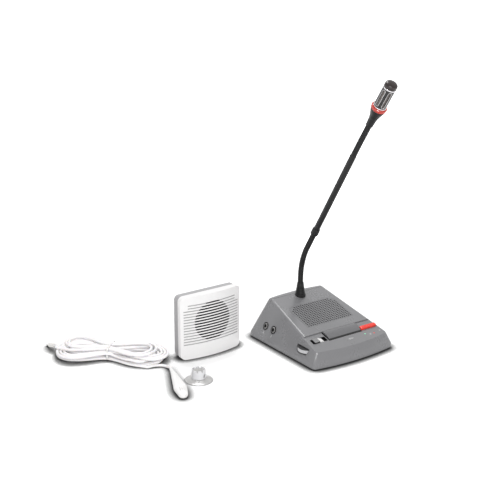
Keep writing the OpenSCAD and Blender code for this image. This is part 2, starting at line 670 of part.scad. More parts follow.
module mode_mark() color([0.95, 0.95, 0.95]) on_slope() translate([knob_x + knob_l, slot_v, 0])
    translate([0, slot_w / 2 - 2 * side_gap, 0]) rotate([90, 0, 0])
        linear_extrude(slot_w - 4 * side_gap)
            polygon([[0, -roof - 0.1], [mark_l, -roof - 0.1], [mark_l, -roof + 1.2], [0, 0.2]]);

// --- Volume wheel on its upright shaft.
module at_wheel() { at_console() translate([wheel_x, wheel_y, 0]) children(); }
module volume_wheel() color([0.62, 0.62, 0.63]) at_wheel() difference() {
    translate([0, 0, wheel_z]) linear_extrude(wheel_t)
        polygon([for (i = [0:119]) (wheel_r - (i % 2) * 0.5) * [cos(i * 3), sin(i * 3)]]);
    translate([0, 0, wheel_z - small]) difference() {
        cylinder(r = wheel_r - 2.5, h = wheel_t - 2, $fn = 64);
        cylinder(r = 6, h = wheel_t, $fn = 32);
    }
    translate([0, 0, wheel_z - 1]) cylinder(r = shaft_r + 0.02, h = wheel_t - 1, $fn = 32);
}
module volume_shaft() color([0.8, 0.8, 0.8]) at_wheel()
    cylinder_between(pot_top - 4, wheel_z + wheel_t - 2.1, shaft_r);
module volume_pot() color([0.55, 0.5, 0.3]) at_wheel() difference() {
    union() {
        cylinder_between(floor_z + 2.3 - small, pot_top, 8);
        cylinder_between(pot_top - small, pot_top + 2, 5);
    }
    translate([0, 0, pot_top - 4.5]) cylinder(r = shaft_r + run_gap, h = 9, $fn = 48);
}

// --- Sockets in the left side, power inlet at the rear, two lamps in the ledge.
module jack_sockets() color([0.06, 0.06, 0.06]) for (y = jacks) on_side(y, jack_z) difference() {
    union() {
        slab([-5.5, -5.5, -side_wall - fit_gap - jack_depth], [5.5, 5.5, -side_wall - fit_gap]);
        cylinder_between(-side_wall - fit_gap - small, 0.5, bush_r);
    }
    translate([0, 0, -jack_depth]) cylinder(r = jack_r, h = jack_depth + 2, $fn = 48);
}
module jack_washers() color([0.05, 0.05, 0.05]) for (y = jacks) on_side(y, jack_z)
    translate([0, 0, -recess_d]) difference() {
        cylinder(r = recess_r - fit_gap, h = 0.7, $fn = 48);
        translate([0, 0, -1]) cylinder(r = bush_r + 0.1, h = 3, $fn = 32);
    }
module jack_nuts() color([0.8, 0.8, 0.82]) for (y = jacks) on_side(y, jack_z)
    translate([0, 0, 0.7 - recess_d]) difference() {
        union() {
            cylinder(r = 4.4, h = 1, $fn = 48);
            translate([0, 0, 1 - small]) cylinder(r1 = 4.4, r2 = 3.7, h = 0.6, $fn = 48);
        }
        translate([0, 0, -1]) cylinder(r = bush_r + 0.03, h = 4, $fn = 32);
        for (a = [0, 90]) rotate(a) translate([-5, -0.4, 1]) cube([10, 0.8, 2]);
    }
module dc_inlet() color([0.06, 0.06, 0.06]) on_rear(inlet_x, inlet_z) {
    difference() {
        union() {
            slab([-4.5, -5.5, -16], [4.5, 5.5, -wall - fit_gap]);
            cylinder_between(-wall - fit_gap - small, 0.6, inlet_r);
        }
        translate([0, 0, -10]) cylinder(r = 2.9, h = 12, $fn = 40);
    }
    cylinder_between(-11, -1, 1);
}
module power_leds() for (i = [0, 1]) color(i == 0 ? [0.2, 0.7, 0.4] : [0.9, 0.3, 0.35])
    on_slope() translate([leds[i].x, leds[i].y, 0]) {
        cylinder_between(-roof - 1, -roof, 1.9);
        cylinder_between(-roof - small, -step_d - 0.4, 1.5);
        translate([0, 0, -step_d - 0.4]) intersection() {
            translate([0, 0, -1.2]) sphere(r = norm([1.5, 1.2]), $fn = 32);
            cylinder(r = 3, h = 3, $fn = 32);
        }
    }

// --- Gooseneck. on_neck(s) is s along the tube's line from its corner point.
module on_neck(s) {
    at_console() translate([0, neck_y, bend_z + turn_l]) rotate([neck_lean, 0, 0])
        translate([0, 0, s]) children();
}
function neck_dir(a) = [0, -sin(a), cos(a)];
// Centre line of the neck as length from bend_z, and of the upper stretch from its foot.
function bend_point(l) = let(a = min(max(l / bend_r * 180 / PI, 0), neck_lean), s = l - bend_l)
    [console_x, console_y + neck_y - bend_r * (1 - cos(a)), bend_z + bend_r * sin(a)]
    + (l < 0 ? [0, 0, l] : s > 0 ? s * neck_dir(neck_lean) : [0, 0, 0]);
corner = [console_x, console_y + neck_y, bend_z + turn_l];
upper_foot = corner + tube_end * neck_dir(neck_lean);
function upper_point(l) = let(a = l / upper_r * 180 / PI)
    upper_foot + upper_r * (sin(a) * neck_dir(neck_lean) + (1 - cos(a)) * neck_dir(neck_lean + 90));
module on_head(a) {
    translate(upper_point(upper_l)) rotate([neck_lean + upper_bend, 0, 0]) translate([0, 0, a]) children();
}
// A ribbed stretch: plain for a diameter at each end, a crest and a valley for each rib.
module ribbed(points, r, d0, d1) {
    n = len(points) - 1;
    tube(points, [for (i = [0:n]) i < 3 || i > n - 3 || i % 2 == 1 ? r : r - 0.5], 12, [1, 0, 0], d0, d1);
}
function spaced(l0, l1) = let(n = 2 * round((l1 - l0 - 4 * flex_r) / rib_pitch))
    concat([l0], [for (i = [0:n]) l0 + 2 * flex_r + (l1 - l0 - 4 * flex_r) * i / n], [l1]);
low_l = knee * bend_l;
knee_dir = neck_dir(knee * neck_lean);
mid_l = sleeve_s - turn_l + bend_l;
module neck_stub() color([0.7, 0.7, 0.72]) at_console() translate([0, neck_y, 0]) difference() {
    cylinder_between(nut_z - 8, flex_z, stub_r);
    cylinder_between(nut_z - 9, flex_z + 1, stub_r - 1.2);
}
module neck_nut() color([0.75, 0.72, 0.6]) at_console() translate([0, neck_y, nut_z - 5]) difference() {
    cylinder(r = 8, h = 5, $fn = 6);
    translate([0, 0, -1]) cylinder(r = stub_r + 0.03, h = 7, $fn = 40);
}
module neck_boot() color([0.07, 0.07, 0.07]) difference() {
    at_console() translate([0, neck_y, 0]) difference() {
        rotate_extrude($fn = 48) polygon(concat([[0, top_z - 4], [8.4, top_z - 4], [8.4, top_z + 1.5]],
            [for (i = [0:5], h = [0, 1]) let(k = (i + h * 0.55) / 6, z = top_z + 2.5 + 14 * k)
                [7.8 - 2.2 * k - (h == 0 ? 0.6 : 0), z]],
            [[5.4, boot_top - 3], [5, boot_top], [0, boot_top]]));
        translate([0, 0, top_z - 5]) cylinder(r = flex_r + 0.1, h = 40, $fn = 40);
    }
    on_slope() slab([-20, 100, -20], [20, 150, 0]);
}
module neck_flex_low() color([0.13, 0.13, 0.13])
    ribbed([for (l = spaced(flex_z - bend_z, low_l)) bend_point(l)], flex_r, neck_dir(0), knee_dir);
module neck_flex_mid() color([0.13, 0.13, 0.13])
    ribbed([for (l = spaced(low_l, mid_l)) bend_point(l)], flex_r, knee_dir, neck_dir(neck_lean));
module neck_sleeve() color([0.08, 0.08, 0.08]) on_neck(sleeve_s - 4) difference() {
    rotate_extrude($fn = 48) polygon([[tube_r + 0.03, 0], [sleeve_r - 0.8, 0], [sleeve_r, 1.2],
        [sleeve_r, 10], [tube_r + 0.6, 13], [tube_r + 0.03, 13]]);
}
module neck_tube() color([0.1, 0.1, 0.1]) on_neck(sleeve_s) difference() {
    rotate_extrude($fn = 48) polygon([[2.5, 0], [tube_r, 0], [tube_r, tube_l - 2],
        [tube_r - 0.5, tube_l], [2.5, tube_l]]);
}
module neck_flex_top() color([0.13, 0.13, 0.13])
    ribbed([for (l = spaced(0, upper_l)) upper_point(l)], flex_r, neck_dir(neck_lean),
        neck_dir(neck_lean + upper_bend));

// --- Microphone head.
module mic_boot() color([0.15, 0.15, 0.15]) on_head(0) rotate_extrude($fn = 64)
    polygon([[flex_r + 0.1, -boot_back], [5.2, -boot_back], [5.5, -8], [5.9, -2], [6.7, 2],
        [7.7, 6], [8.9, 9.5], [9.9, 12.5], [10.6, 15], [10.8, boot_l], [0, boot_l], [0, small],
        [flex_r + 0.1, small]]);
module light_ring() color([0.9, 0.25, 0.15, 0.8]) on_head(boot_l) rotate_extrude($fn = 64)
    polygon([[6, 0], [ring_r - 0.5, 0], [ring_r, 0.6], [ring_r, ring_l - 0.8],
        [ring_r - 0.8, ring_l], [6, ring_l]]);
cage_a = boot_l + ring_l;
cage_mid = cage_a + trim_l + cage_l / 2 + 0.5;
// Upright slot with round ends, out through the cage's wall.
module window_prism(w, h) {
    rotate([0, 90, 0]) linear_extrude(20) {
        square([h - w, w], center = true);
        for (s = [-1, 1]) translate([s * (h - w) / 2, 0]) circle(w / 2, $fn = 32);
    }
}
module windows(w, h) { for (a = [0:60:300]) rotate(a + 8) translate([4, 0, cage_mid]) window_prism(w, h); }
module mic_cage() color([0.07, 0.07, 0.07]) on_head(0) difference() {
    rotate_extrude($fn = 64) polygon([[0, cage_a], [cage_r - 0.4, cage_a], [cage_r - 0.4, cage_a + trim_l],
        [cage_r, cage_a + trim_l], [cage_r, cage_a + trim_l + cage_l], [cage_r - 0.4, cage_a + trim_l + cage_l],
        [cage_r - 0.4, cage_a + 2 * trim_l + cage_l], [cage_r - 1.5, cage_a + 2 * trim_l + cage_l],
        [cage_r - 1.5, cage_a + 2], [0, cage_a + 2]]);
    windows(window[0], window[1]);
}
module cage_trim() color([0.86, 0.86, 0.87]) on_head(0) {
    for (z = [cage_a, cage_a + trim_l + cage_l]) translate([0, 0, z]) rotate_extrude($fn = 64)
        polygon([[cage_r - 0.38, 0.02], [cage_r + 0.2, 0.02], [cage_r + 0.4, trim_l / 2],
            [cage_r + 0.2, trim_l - 0.02], [cage_r - 0.38, trim_l - 0.02]]);
    intersection() {
        rotate_extrude($fn = 64) translate([cage_r - 1.2, cage_a]) square([1.45, cage_l + 9]);
        difference() {
            windows(window[0] - 0.06, window[1] - 0.06);
            windows(window[0] - 2 * trim_w, window[1] - 2 * trim_w);
        }
    }
}
module mic_screen() color([0.25, 0.25, 0.26]) on_head(cage_a + 2 + small) rotate_extrude($fn = 64)
    polygon([[cage_r - 2.2, 0], [cage_r - 1.6, 0], [cage_r - 1.6, cage_l + 1.9], [cage_r - 2.2, cage_l + 1.9]]);
module mic_capsule() color([0.7, 0.7, 0.72]) on_head(cage_a + 2 + small) {
    cylinder(r = 4.85, h = 14, $fn = 48);
    translate([0, 0, 14 - small]) cylinder(r = 4.2, h = 0.8, $fn = 48);
}
module mic_cap() color([0.33, 0.32, 0.32]) on_head(cage_a + 2 * trim_l + cage_l) rotate_extrude($fn = 64)
    polygon([[0, 0], [cage_r - 0.3, 0], [cage_r - 0.1, 1], [cage_r - 0.1, cap_l - 4.4],
        [cage_r - 0.7, cap_l - 2.6], [cage_r - 2.2, cap_l - 1.2], [cage_r - 4, cap_l - 0.4], [0, cap_l]]);

// --- Customer speaker.
module at_speaker() { translate([speaker_x, speaker_y, 0]) children(); }
function cover_plan(m) = concat([[box_w / 2 - m, cover_d], [m - box_w / 2, cover_d]],
    arc([-fillet_x, fillet_y], edge_fillet - min(m, 2.5), 180, 270 - fillet_half, 6),
    arc([0, box_yc], box_r - m, 270 - fillet_half * 0.94, 270 + fillet_half * 0.94, 24),
    arc([fillet_x, fillet_y], edge_fillet - min(m, 2.5), 270 + fillet_half, 360, 6));
module upright(w, h, r, y0, y1) {
    translate([0, y1, h / 2]) rotate([90, 0, 0]) linear_extrude(y1 - y0) {
        square([w, h - 2 * r], center = true);
        square([w - 2 * r, h], center = true);
        for (x = [-1, 1], z = [-1, 1]) translate([x * (w / 2 - r), z * (h / 2 - r)]) circle(r, $fn = 48);
    }
}
module cover_form(m) {
    intersection() {
        linear_extrude(box_h) polygon(cover_plan(m));
        translate([0, 0, m]) upright(box_w - 2 * m, box_h - 2 * m, box_corner - m, -20, cover_d + small);
    }
}
function line_at(i) = line_z + i * line_pitch;
module cover_front() color([0.86, 0.86, 0.86]) at_speaker() difference() {
    union() {
        difference() {
            cover_form(0);
            translate([0, small, 0]) cover_form(box_wall);
        }
        intersection() {
            cover_form(small);
            union() {
                for (p = corner_bosses) translate([p.x, cover_d, p.y]) rotate([90, 0, 0])
                    cylinder(r = 3.6, h = 20, $fn = 32);
                translate([0, -0.5, field_z]) rotate([90, 0, 0]) linear_extrude(20) difference() {
                    circle(driver_r + 3, $fn = 64);
                    circle(driver_r + 1, $fn = 64);
                }
            }
        }
    }
    for (i = [0:lines - 1]) translate([0, 0, line_at(i)]) {
        half = i > lines - 3 ? 41 : 47.5;
        inner = sqrt(max(pow(field_r, 2) - pow(line_at(i) - field_z, 2), 0));
        linear_extrude(line_w) intersection() {
            difference() {
                translate([0, box_yc]) circle(box_r + 6, $fn = 180);
                translate([0, box_yc]) circle(box_r - groove_d, $fn = 180);
            }
            translate([-half, -box_bow - 3]) square([2 * half, box_bow + 6]);
        }
        if (inner > 6) translate([-inner, -box_bow - 3, 0]) cube([2 * inner, box_bow + 6, line_w]);
    }
    for (p = corner_bosses) translate([p.x, cover_d + 1, p.y]) rotate([90, 0, 0])
        cylinder(r = 1.25, h = 7, $fn = 24);
}
module cover_back() color([0.8, 0.8, 0.8]) at_speaker() difference() {
    union() {
        difference() {
            translate([0, 0, back_in]) upright(box_w - 2 * back_in, box_h - 2 * back_in,
                box_corner - back_in, cover_d, back_y);
            translate([0, 0, back_in + box_wall]) upright(box_w - 2 * back_in - 2 * box_wall,
                box_h - 2 * back_in - 2 * box_wall, box_corner - back_in - box_wall,
                cover_d - 1, back_y - box_wall);
        }
        for (p = corner_bosses) translate([p.x, back_y - small, p.y]) rotate([90, 0, 0])
            cylinder(r = 4.6, h = back_d - small, $fn = 32);
        slab([-30, cover_d, 0], [-22, back_y, back_in + 1]);
        slab([22, cover_d, 0], [30, back_y, back_in + 1]);
    }
    for (p = corner_bosses) translate([p.x, back_y + 1, p.y]) rotate([90, 0, 0]) {
        cylinder(r = 1.6, h = 30, $fn = 24);
        cylinder(r = 3.2, h = 5, $fn = 32);
    }
    for (x = [-1, 1], z = [-1, 1])
        translate([x * screw_pitch / 2, back_y + 5, box_h / 2 + z * screw_pitch / 2])
            rotate([90, 0, 0]) cylinder(r = screw_r, h = 9, $fn = 40);
    translate([box_w / 2 - back_in - 5, socket_y, socket_z]) rotate([0, 90, 0])
        cylinder(r = bush_r + fit_gap, h = 9, $fn = 32);
}
socket_y = cover_d + back_d / 2;
socket_z = 26;
module cover_screws() color([0.75, 0.75, 0.76]) at_speaker() for (p = corner_bosses)
    translate([p.x, back_y - 4, p.y]) rotate([90, 0, 0]) {
        cylinder_between(-1.8, 0, 2.9);
        cylinder_between(-small, back_d, 1.2);
    }
module at_driver() { at_speaker() translate([0, 0, field_z]) rotate([-90, 0, 0]) children(); }
module driver_basket() color([0.55, 0.55, 0.56]) at_driver() difference() {
    rotate_extrude($fn = 64) polygon([[driver_r, 0.05], [driver_r, 1.2], [driver_r - 3, 1.2], [14, 9],
        [14, 15], [0, 15], [0, 9], [13, 7.6], [driver_r - 4, 0.05]]);
}
module driver_cone() color([0.1, 0.1, 0.1]) at_driver() rotate_extrude($fn = 64)
    polygon([[driver_r - 4.6, 0.1], [driver_r - 6, 0.8], [6.5, 6.4], [5, 5.2], [0, 4.6], [0, 5.2],
        [4.6, 5.9], [6.4, 7.2], [12.8, 7.4], [driver_r - 4.3, 0.1]]);
module dust_cloth() color([0.05, 0.05, 0.05]) at_driver() translate([0, 0, -0.45])
    cylinder(r = driver_r + 0.8, h = 0.4, $fn = 64);
module speaker_socket() color([0.06, 0.06, 0.06]) at_speaker()
    translate([box_w / 2 - back_in, socket_y, socket_z]) rotate([0, 90, 0]) difference() {
        union() {
            slab([-4.6, -3.4, -box_wall - fit_gap - 12], [4.6, 3.4, -box_wall - fit_gap]);
            cylinder_between(-box_wall - fit_gap - small, 0, bush_r);
        }
        translate([0, 0, -12]) cylinder(r = jack_r, h = 14, $fn = 40);
    }

// --- Customer microphone: two half shells of one teardrop, lying on the counter.
module at_capmic() { translate([capmic_x, capmic_y, capmic_t / 2]) rotate(capmic_turn) children(); }
module teardrop(m) {
    hull() {
        translate([m, 0, 0]) rotate([0, 90, 0]) cylinder(r = 3.4 - m, h = 3, $fn = 24);
        for (y = [-1, 1]) translate([capmic_l - 25, y * (capmic_w / 2 - 5.2), 0])
            scale([1.5, 1, capmic_t / 10.4]) sphere(5.2 - m, $fn = 24);
        translate([capmic_l - 7, 0, -0.6]) scale([1, 1, 0.8]) sphere(7 - m, $fn = 24);
    }
}
module capmic_lower() color([0.93, 0.93, 0.93]) at_capmic() {
    difference() {
        teardrop(0);
        teardrop(1.4);
        slab([-5, -20, 0], [99, 20, 20]);
        slab([-5, -20, -20], [99, 20, -capmic_t / 2 + 0.3]);
        translate([-1, 0, 0]) rotate([0, 90, 0]) cylinder(r = cord_r + 0.05, h = 8, $fn = 32);
    }
    translate([-relief_l, 0, 0]) rotate([0, 90, 0])
        cylinder(r1 = cord_r + 0.4, r2 = 3.2, h = relief_l, $fn = 32);
    rotate([0, 90, 0]) cylinder_between(-1, 5, cord_r);
}
module capmic_upper() color([0.93, 0.93, 0.93]) at_capmic() difference() {
    teardrop(0);
    teardrop(1.4);
    slab([-5, -20, -20], [99, 20, 0.05]);
    translate([-1, 0, 0]) rotate([0, 90, 0]) cylinder(r = cord_r + 0.05, h = 8, $fn = 32);
    for (i = [-1:1], j = [-1:1]) translate([capmic_l - 13 + i * 3, j * 3, 0])
        cylinder(r = 0.9, h = 9, $fn = 24);
}
module capmic_capsule() color([0.4, 0.4, 0.42]) at_capmic() translate([capmic_l - 13, 0, -3.6])
    cylinder(r = 4.85, h = 6, $fn = 40);

// --- Suction cup with the collar that holds the microphone's cable.
stem_r = 8.6;
collar_r = 10.4;
module at_cup() { translate([cup_x, cup_y, 0]) children(); }
module clip_bore(r) { translate([0, 0, 8.2]) rotate([0, 90, -67]) cylinder(r = r, h = 60, center = true, $fn = 40); }
module suction_cup() color([0.78, 0.78, 0.78]) at_cup() difference() {
    rotate_extrude($fn = 64) polygon([[0, 2.6], [10, 2.2], [cup_r - 2, 0], [cup_r, 0], [cup_r, 0.8],
        [cup_r - 3, 2.4], [13, 4.2], [stem_r, 4.6], [stem_r, cup_h - 2], [0, cup_h - 2]]);
    clip_bore(clip_r);
}
module cup_collar() color([0.72, 0.72, 0.73]) at_cup() difference() {
    translate([0, 0, 4.7]) rotate_extrude($fn = 64) polygon([[stem_r + 0.05, 0], [collar_r + 0.3, 0],
        [collar_r, 2], [collar_r - 0.9, cup_h - 5.2], [collar_r - 1.6, cup_h - 4.7], [stem_r + 0.05, cup_h - 4.7]]);
    for (a = [0:45:315]) rotate(a) translate([7, -1.1, cup_h - 2.6]) cube([9, 2.2, 5]);
    clip_bore(clip_r + 0.6);
}

// --- Cable: lead from the microphone, hank, tail over the hank to the plug.
up_z = [0, 0, 1];
module cable_lead() color([0.94, 0.94, 0.94]) {
    start = lead_root;
    along = [-cos(capmic_turn), -sin(capmic_turn), 0];
    join = unit(hank_route[1] - hank_route[0]);
    p = concat([start, start + cord_d * along], lead_mid, [hank_route[0] - cord_d * join, hank_route[0]]);
    tube(p, same(p, cord_r), 8, up_z, along, join);
}
module cable_hank() color([0.95, 0.95, 0.95]) {
    m = len(hank_route) - 1;
    gap = min([for (i = [0:m - 7]) min([for (j = [i + 7:m]) norm(hank_route[i] - hank_route[j])])]);
    echo(hank_length = path_length(hank_route), least_gap = gap - cord_d);
    tube(hank_route, same(hank_route, cord_r), 6, up_z,
        unit(hank_route[1] - hank_route[0]), unit(hank_route[m] - hank_route[m - 1]));
}
module cable_tail() color([0.94, 0.94, 0.94]) {
    n = len(hank_route) - 1;
    join = unit(hank_route[n] - hank_route[n - 1]);
    p = [hank_route[n], hank_route[n] + cord_d * join, plug_root - cord_d * plug_dir, plug_root];
    echo(tail_length = path_length(p));
    tube(p, same(p, cord_r), 8, up_z, join, plug_dir);
}
module cable_plug() color([0.92, 0.9, 0.84]) translate(plug_root)
    rotate([0, acos(plug_dir.z), atan2(plug_dir.y, plug_dir.x)]) rotate_extrude($fn = 40)
        polygon([[0, 0], [2.4, 0], [2.8, 8], [3.6, 9], [3.6, plug_l], [1.75, plug_l],
            [1.75, plug_l + 11], [1.3, plug_l + 11.6], [1.75, plug_l + 12.4], [0.6, plug_l + 14], [0, plug_l + 14]]);

housing();
speaker_grille();
base_plate();
rubber_feet();
base_screws();
monitor_basket();
monitor_cone();
monitor_magnet();
monitor_screws();
main_board();
board_parts();
board_screws();
key_board();
key_switches();
talk_bar();
talk_plungers();
red_button();
button_plunger();
mode_switch();
mode_knob();
mode_mark();
volume_wheel();
volume_shaft();
volume_pot();
jack_sockets();
jack_washers();
jack_nuts();
dc_inlet();
power_leds();
neck_stub();
neck_nut();
neck_boot();
neck_flex_low();
neck_flex_mid();
neck_sleeve();
neck_tube();
neck_flex_top();
mic_boot();
light_ring();
mic_cage();
cage_trim();
mic_screen();
mic_capsule();
mic_cap();
cover_front();
cover_back();
cover_screws();
driver_basket();
driver_cone();
dust_cloth();
speaker_socket();
capmic_lower();
capmic_upper();
capmic_capsule();
suction_cup();
cup_collar();
cable_lead();
cable_hank();
cable_tail();
cable_plug();
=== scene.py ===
import math
import bmesh
import bpy
import numpy as np
from mathutils import Matrix, Vector


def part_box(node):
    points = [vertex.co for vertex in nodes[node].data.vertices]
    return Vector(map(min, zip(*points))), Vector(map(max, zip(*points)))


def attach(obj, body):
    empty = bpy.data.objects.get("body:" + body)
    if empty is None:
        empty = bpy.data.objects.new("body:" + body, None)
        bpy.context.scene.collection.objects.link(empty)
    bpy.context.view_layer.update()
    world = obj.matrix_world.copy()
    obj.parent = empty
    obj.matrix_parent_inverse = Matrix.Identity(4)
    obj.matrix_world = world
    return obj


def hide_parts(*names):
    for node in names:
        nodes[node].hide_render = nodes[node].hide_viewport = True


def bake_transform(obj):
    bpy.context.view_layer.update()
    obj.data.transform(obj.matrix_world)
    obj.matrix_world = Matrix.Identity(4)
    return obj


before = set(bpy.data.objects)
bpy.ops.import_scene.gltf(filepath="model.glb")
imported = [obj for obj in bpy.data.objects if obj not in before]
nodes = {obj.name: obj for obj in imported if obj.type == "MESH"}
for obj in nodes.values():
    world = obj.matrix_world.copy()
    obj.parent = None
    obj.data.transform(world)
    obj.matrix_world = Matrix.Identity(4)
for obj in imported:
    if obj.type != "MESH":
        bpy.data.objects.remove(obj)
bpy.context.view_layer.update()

# --- Standpoint: a long lens in front of the console's left corner, a little above the set,
# as the photograph was taken.
camera = bpy.data.objects.new("camera", bpy.data.cameras.new("camera"))
camera.data.lens, camera.data.sensor_width = 82.25, 36
camera.location = (-0.8769, -1.1638, 0.6624)
camera.rotation_euler = [math.radians(a) for a in (72.05, 0, -34.8)]
bpy.context.scene.collection.objects.link(camera)
bpy.context.scene.camera = camera
bpy.context.scene.view_settings.view_transform = "Standard"


# --- Cable: one white sheathed lead of 4 mm, from the small microphone, wound into a hank of
# two lobes drawn in at a waist, its plug leaning off the left lobe. Extruded soft vinyl.
class Value:
    """A node socket in an expression: each operator adds one Math node. ramp() goes from 0 to 1,
    rising by steep for each metre above 0."""

    def __init__(self, tree, socket):
        self.tree, self.socket = tree, socket

    def math(self, operation, *others, first=None):
        node = self.tree.nodes.new("ShaderNodeMath")
        node.operation = operation
        row = (self,) + others if first is None else (first, self)
        for socket, item in zip(node.inputs, row):
            if isinstance(item, Value):
                self.tree.links.new(item.socket, socket)
            else:
                socket.default_value = item
        return Value(self.tree, node.outputs[0])

    def __add__(self, other): return self.math("ADD", other)
    def __radd__(self, other): return self.math("ADD", other)
    def __sub__(self, other): return self.math("SUBTRACT", other)
    def __rsub__(self, other): return self.math("SUBTRACT", first=other)
    def __mul__(self, other): return self.math("MULTIPLY", other)
    def __rmul__(self, other): return self.math("MULTIPLY", other)
    def __truediv__(self, other): return self.math("DIVIDE", other)
    def __gt__(self, other): return self.math("GREATER_THAN", other)
    def __lt__(self, other): return self.math("LESS_THAN", other)
    def sin(self): return self.math("SINE")
    def size(self): return self.math("ABSOLUTE")
    def part(self): return self.math("FRACT")
    def most(self, other): return self.math("MAXIMUM", other)
    def least(self, other): return self.math("MINIMUM", other)
    def ramp(self, steep): return (self * steep).most(0.0).least(1.0)


def paint(*rgb):
    """A colour as read from the photograph, 0 to 255, turned to linear light."""
    c = np.array(rgb) / 255
    return (*np.where(c <= 0.04045, c / 12.92, ((c + 0.055) / 1.055) ** 2.4), 1.0)


class Graph:
    """A node tree. node() adds a node: its settings first, then the values or links of its sockets."""

    def __init__(self, tree):
        self.tree = tree

    def node(self, kind, settings={}, sockets={}):
        made = self.tree.nodes.new(kind)
        for key, value in settings.items():
            setattr(made, key, value)
        for key, value in sockets.items():
            self.join(made.inputs[key], value)
        return made

    def join(self, socket, value):
        value = value.socket if isinstance(value, Value) else value
        if isinstance(value, bpy.types.NodeSocket):
            self.tree.links.new(value, socket)
        else:
            socket.default_value = value


class Finish(Graph):
    """One material. put() sets or links the sockets of its Principled shader."""

    def __init__(self, name, **plain):
        self.material = bpy.data.materials.new(name)
        self.material.use_nodes = True
        super().__init__(self.material.node_tree)
        self.shader = self.tree.nodes["Principled BSDF"]
        self.place = self.node("ShaderNodeTexCoord").outputs["Object"]
        self.put({k.replace("_", " "): v for k, v in plain.items()})

    def put(self, sockets):
        for key, value in sockets.items():
            self.join(self.shader.inputs[key], value)

    def noise(self, size, detail=2.0):
        """Soft noise whose blots are about size metres across, from 0 to 1."""
        made = self.node("ShaderNodeTexNoise", {}, {"Vector": self.place, "Scale": 1 / size,
                                                    "Detail": detail})
        return Value(self.tree, made.outputs[0])

    def axes(self):
        """The three object coordinates as values."""
        split = self.node("ShaderNodeSeparateXYZ", {}, {0: self.place})
        return [Value(self.tree, o) for o in split.outputs]

    def along(self, direction, origin=(0, 0, 0)):
        """Distance in metres from origin along a direction."""
        moved = self.node("ShaderNodeVectorMath", {"operation": "SUBTRACT"}, {0: self.place, 1: origin})
        dot = self.node("ShaderNodeVectorMath", {"operation": "DOT_PRODUCT"},
                        {0: moved.outputs[0], 1: direction})
        return Value(self.tree, dot.outputs["Value"])

    def between(self, mask, low, high):
        """Colour low where mask is 0 and high where it is 1."""
        mix = self.node("ShaderNodeMix", {"data_type": "RGBA"}, {0: mask, 6: low, 7: high})
        return mix.outputs[2]

    def paint_over(self, mask, colour):
        """Lays a colour over the base colour where mask is 1."""
        under = self.shader.inputs["Base Color"].links[0].from_socket
        self.put({"Base Color": self.between(mask, under, colour)})

    def bump(self, height, depth, round_edge=0.0):
        """A bump of the given depth in metres, over edges rounded by round_edge metres."""
        sockets = {"Height": height, "Distance": depth, "Strength": 1.0}
        if round_edge:
            sockets["Normal"] = self.node("ShaderNodeBevel", {"samples": 6},
                                          {"Radius": round_edge}).outputs[0]
        return self.node("ShaderNodeBump", {}, sockets).outputs[0]


def finished(name, points, faces, smooth=True):
    """A piece from points and faces: doubles merged, faces turned outwards."""
    mesh = bpy.data.meshes.new(name)
    mesh.from_pydata(np.asarray(points).reshape(-1, 3).tolist(), [], faces)
    work = bmesh.new()
    work.from_mesh(mesh)
    bmesh.ops.remove_doubles(work, verts=work.verts, dist=1e-7)
    bmesh.ops.recalc_face_normals(work, faces=work.faces)
    work.to_mesh(mesh)
    work.free()
    mesh.polygons.foreach_set("use_smooth", np.full(len(mesh.polygons), smooth))
    piece = bpy.data.objects.new(name, mesh)
    bpy.context.scene.collection.objects.link(piece)
    return piece


def ring_faces(n, m):
    """Quad (i, j) spans points j and j+1 of rings i and i+1; the first and last ring are closed after."""
    i, j = np.mgrid[0:n - 1, 0:m]
    k = (j + 1) % m
    quads = np.stack([i * m + j, i * m + m + j, i * m + m + k, i * m + k], -1).reshape(-1, 4)
    return quads.tolist() + [list(range(m)), list(range(n * m - 1, n * m - m - 1, -1))]


def skin(name, rings, close=True):
    """Rings of points joined by quads, the ends closed or left open."""
    faces = ring_faces(*rings.shape[:2])
    return finished(name, rings, faces if close else faces[:-2])


def swept(name, path, radius, sides, up):
    """A tube: ring i is path + radius (cos a side + sin a top), side square to the path and to up."""
    path, radius = np.asarray(path, float), np.broadcast_to(radius, len(path))
    run = np.gradient(path, axis=0)
    run /= np.linalg.norm(run, axis=1)[:, None]
    side = np.cross(run, up)
    side /= np.linalg.norm(side, axis=1)[:, None]
    top = np.cross(side, run)
    a = np.arange(sides) * 2 * np.pi / sides
    spoke = np.cos(a)[None, :, None] * side[:, None] + np.sin(a)[None, :, None] * top[:, None]
    return skin(name, path[:, None] + radius[:, None, None] * spoke)


def eased(points, step):
    """A smooth curve through points: on each stretch of length d a cubic whose end slopes are
    the neighbouring chords' slopes weighted by the other's length, cut about every step."""
    p = np.asarray(points, float)
    chord = np.diff(p, axis=0)
    d = np.linalg.norm(chord, axis=1)
    slope = chord / d[:, None]
    bend = np.vstack([slope[:1], (slope[:-1] * d[1:, None] + slope[1:] * d[:-1, None])
                      / (d[1:] + d[:-1])[:, None], slope[-1:]])
    cuts = np.maximum(1, np.ceil(d / step)).astype(int)
    which = np.repeat(np.arange(len(d)), cuts)
    u = ((np.arange(len(which)) - np.repeat(np.cumsum(cuts) - cuts, cuts)) / cuts[which])[:, None]
    a, b, h = p[which], p[which + 1], d[which][:, None]
    curve = (a * (1 + 2 * u) * (1 - u) ** 2 + h * bend[which] * u * (1 - u) ** 2
             + b * u * u * (3 - 2 * u) + h * bend[which + 1] * u * u * (u - 1))
    return np.vstack([curve, p[-1:]])


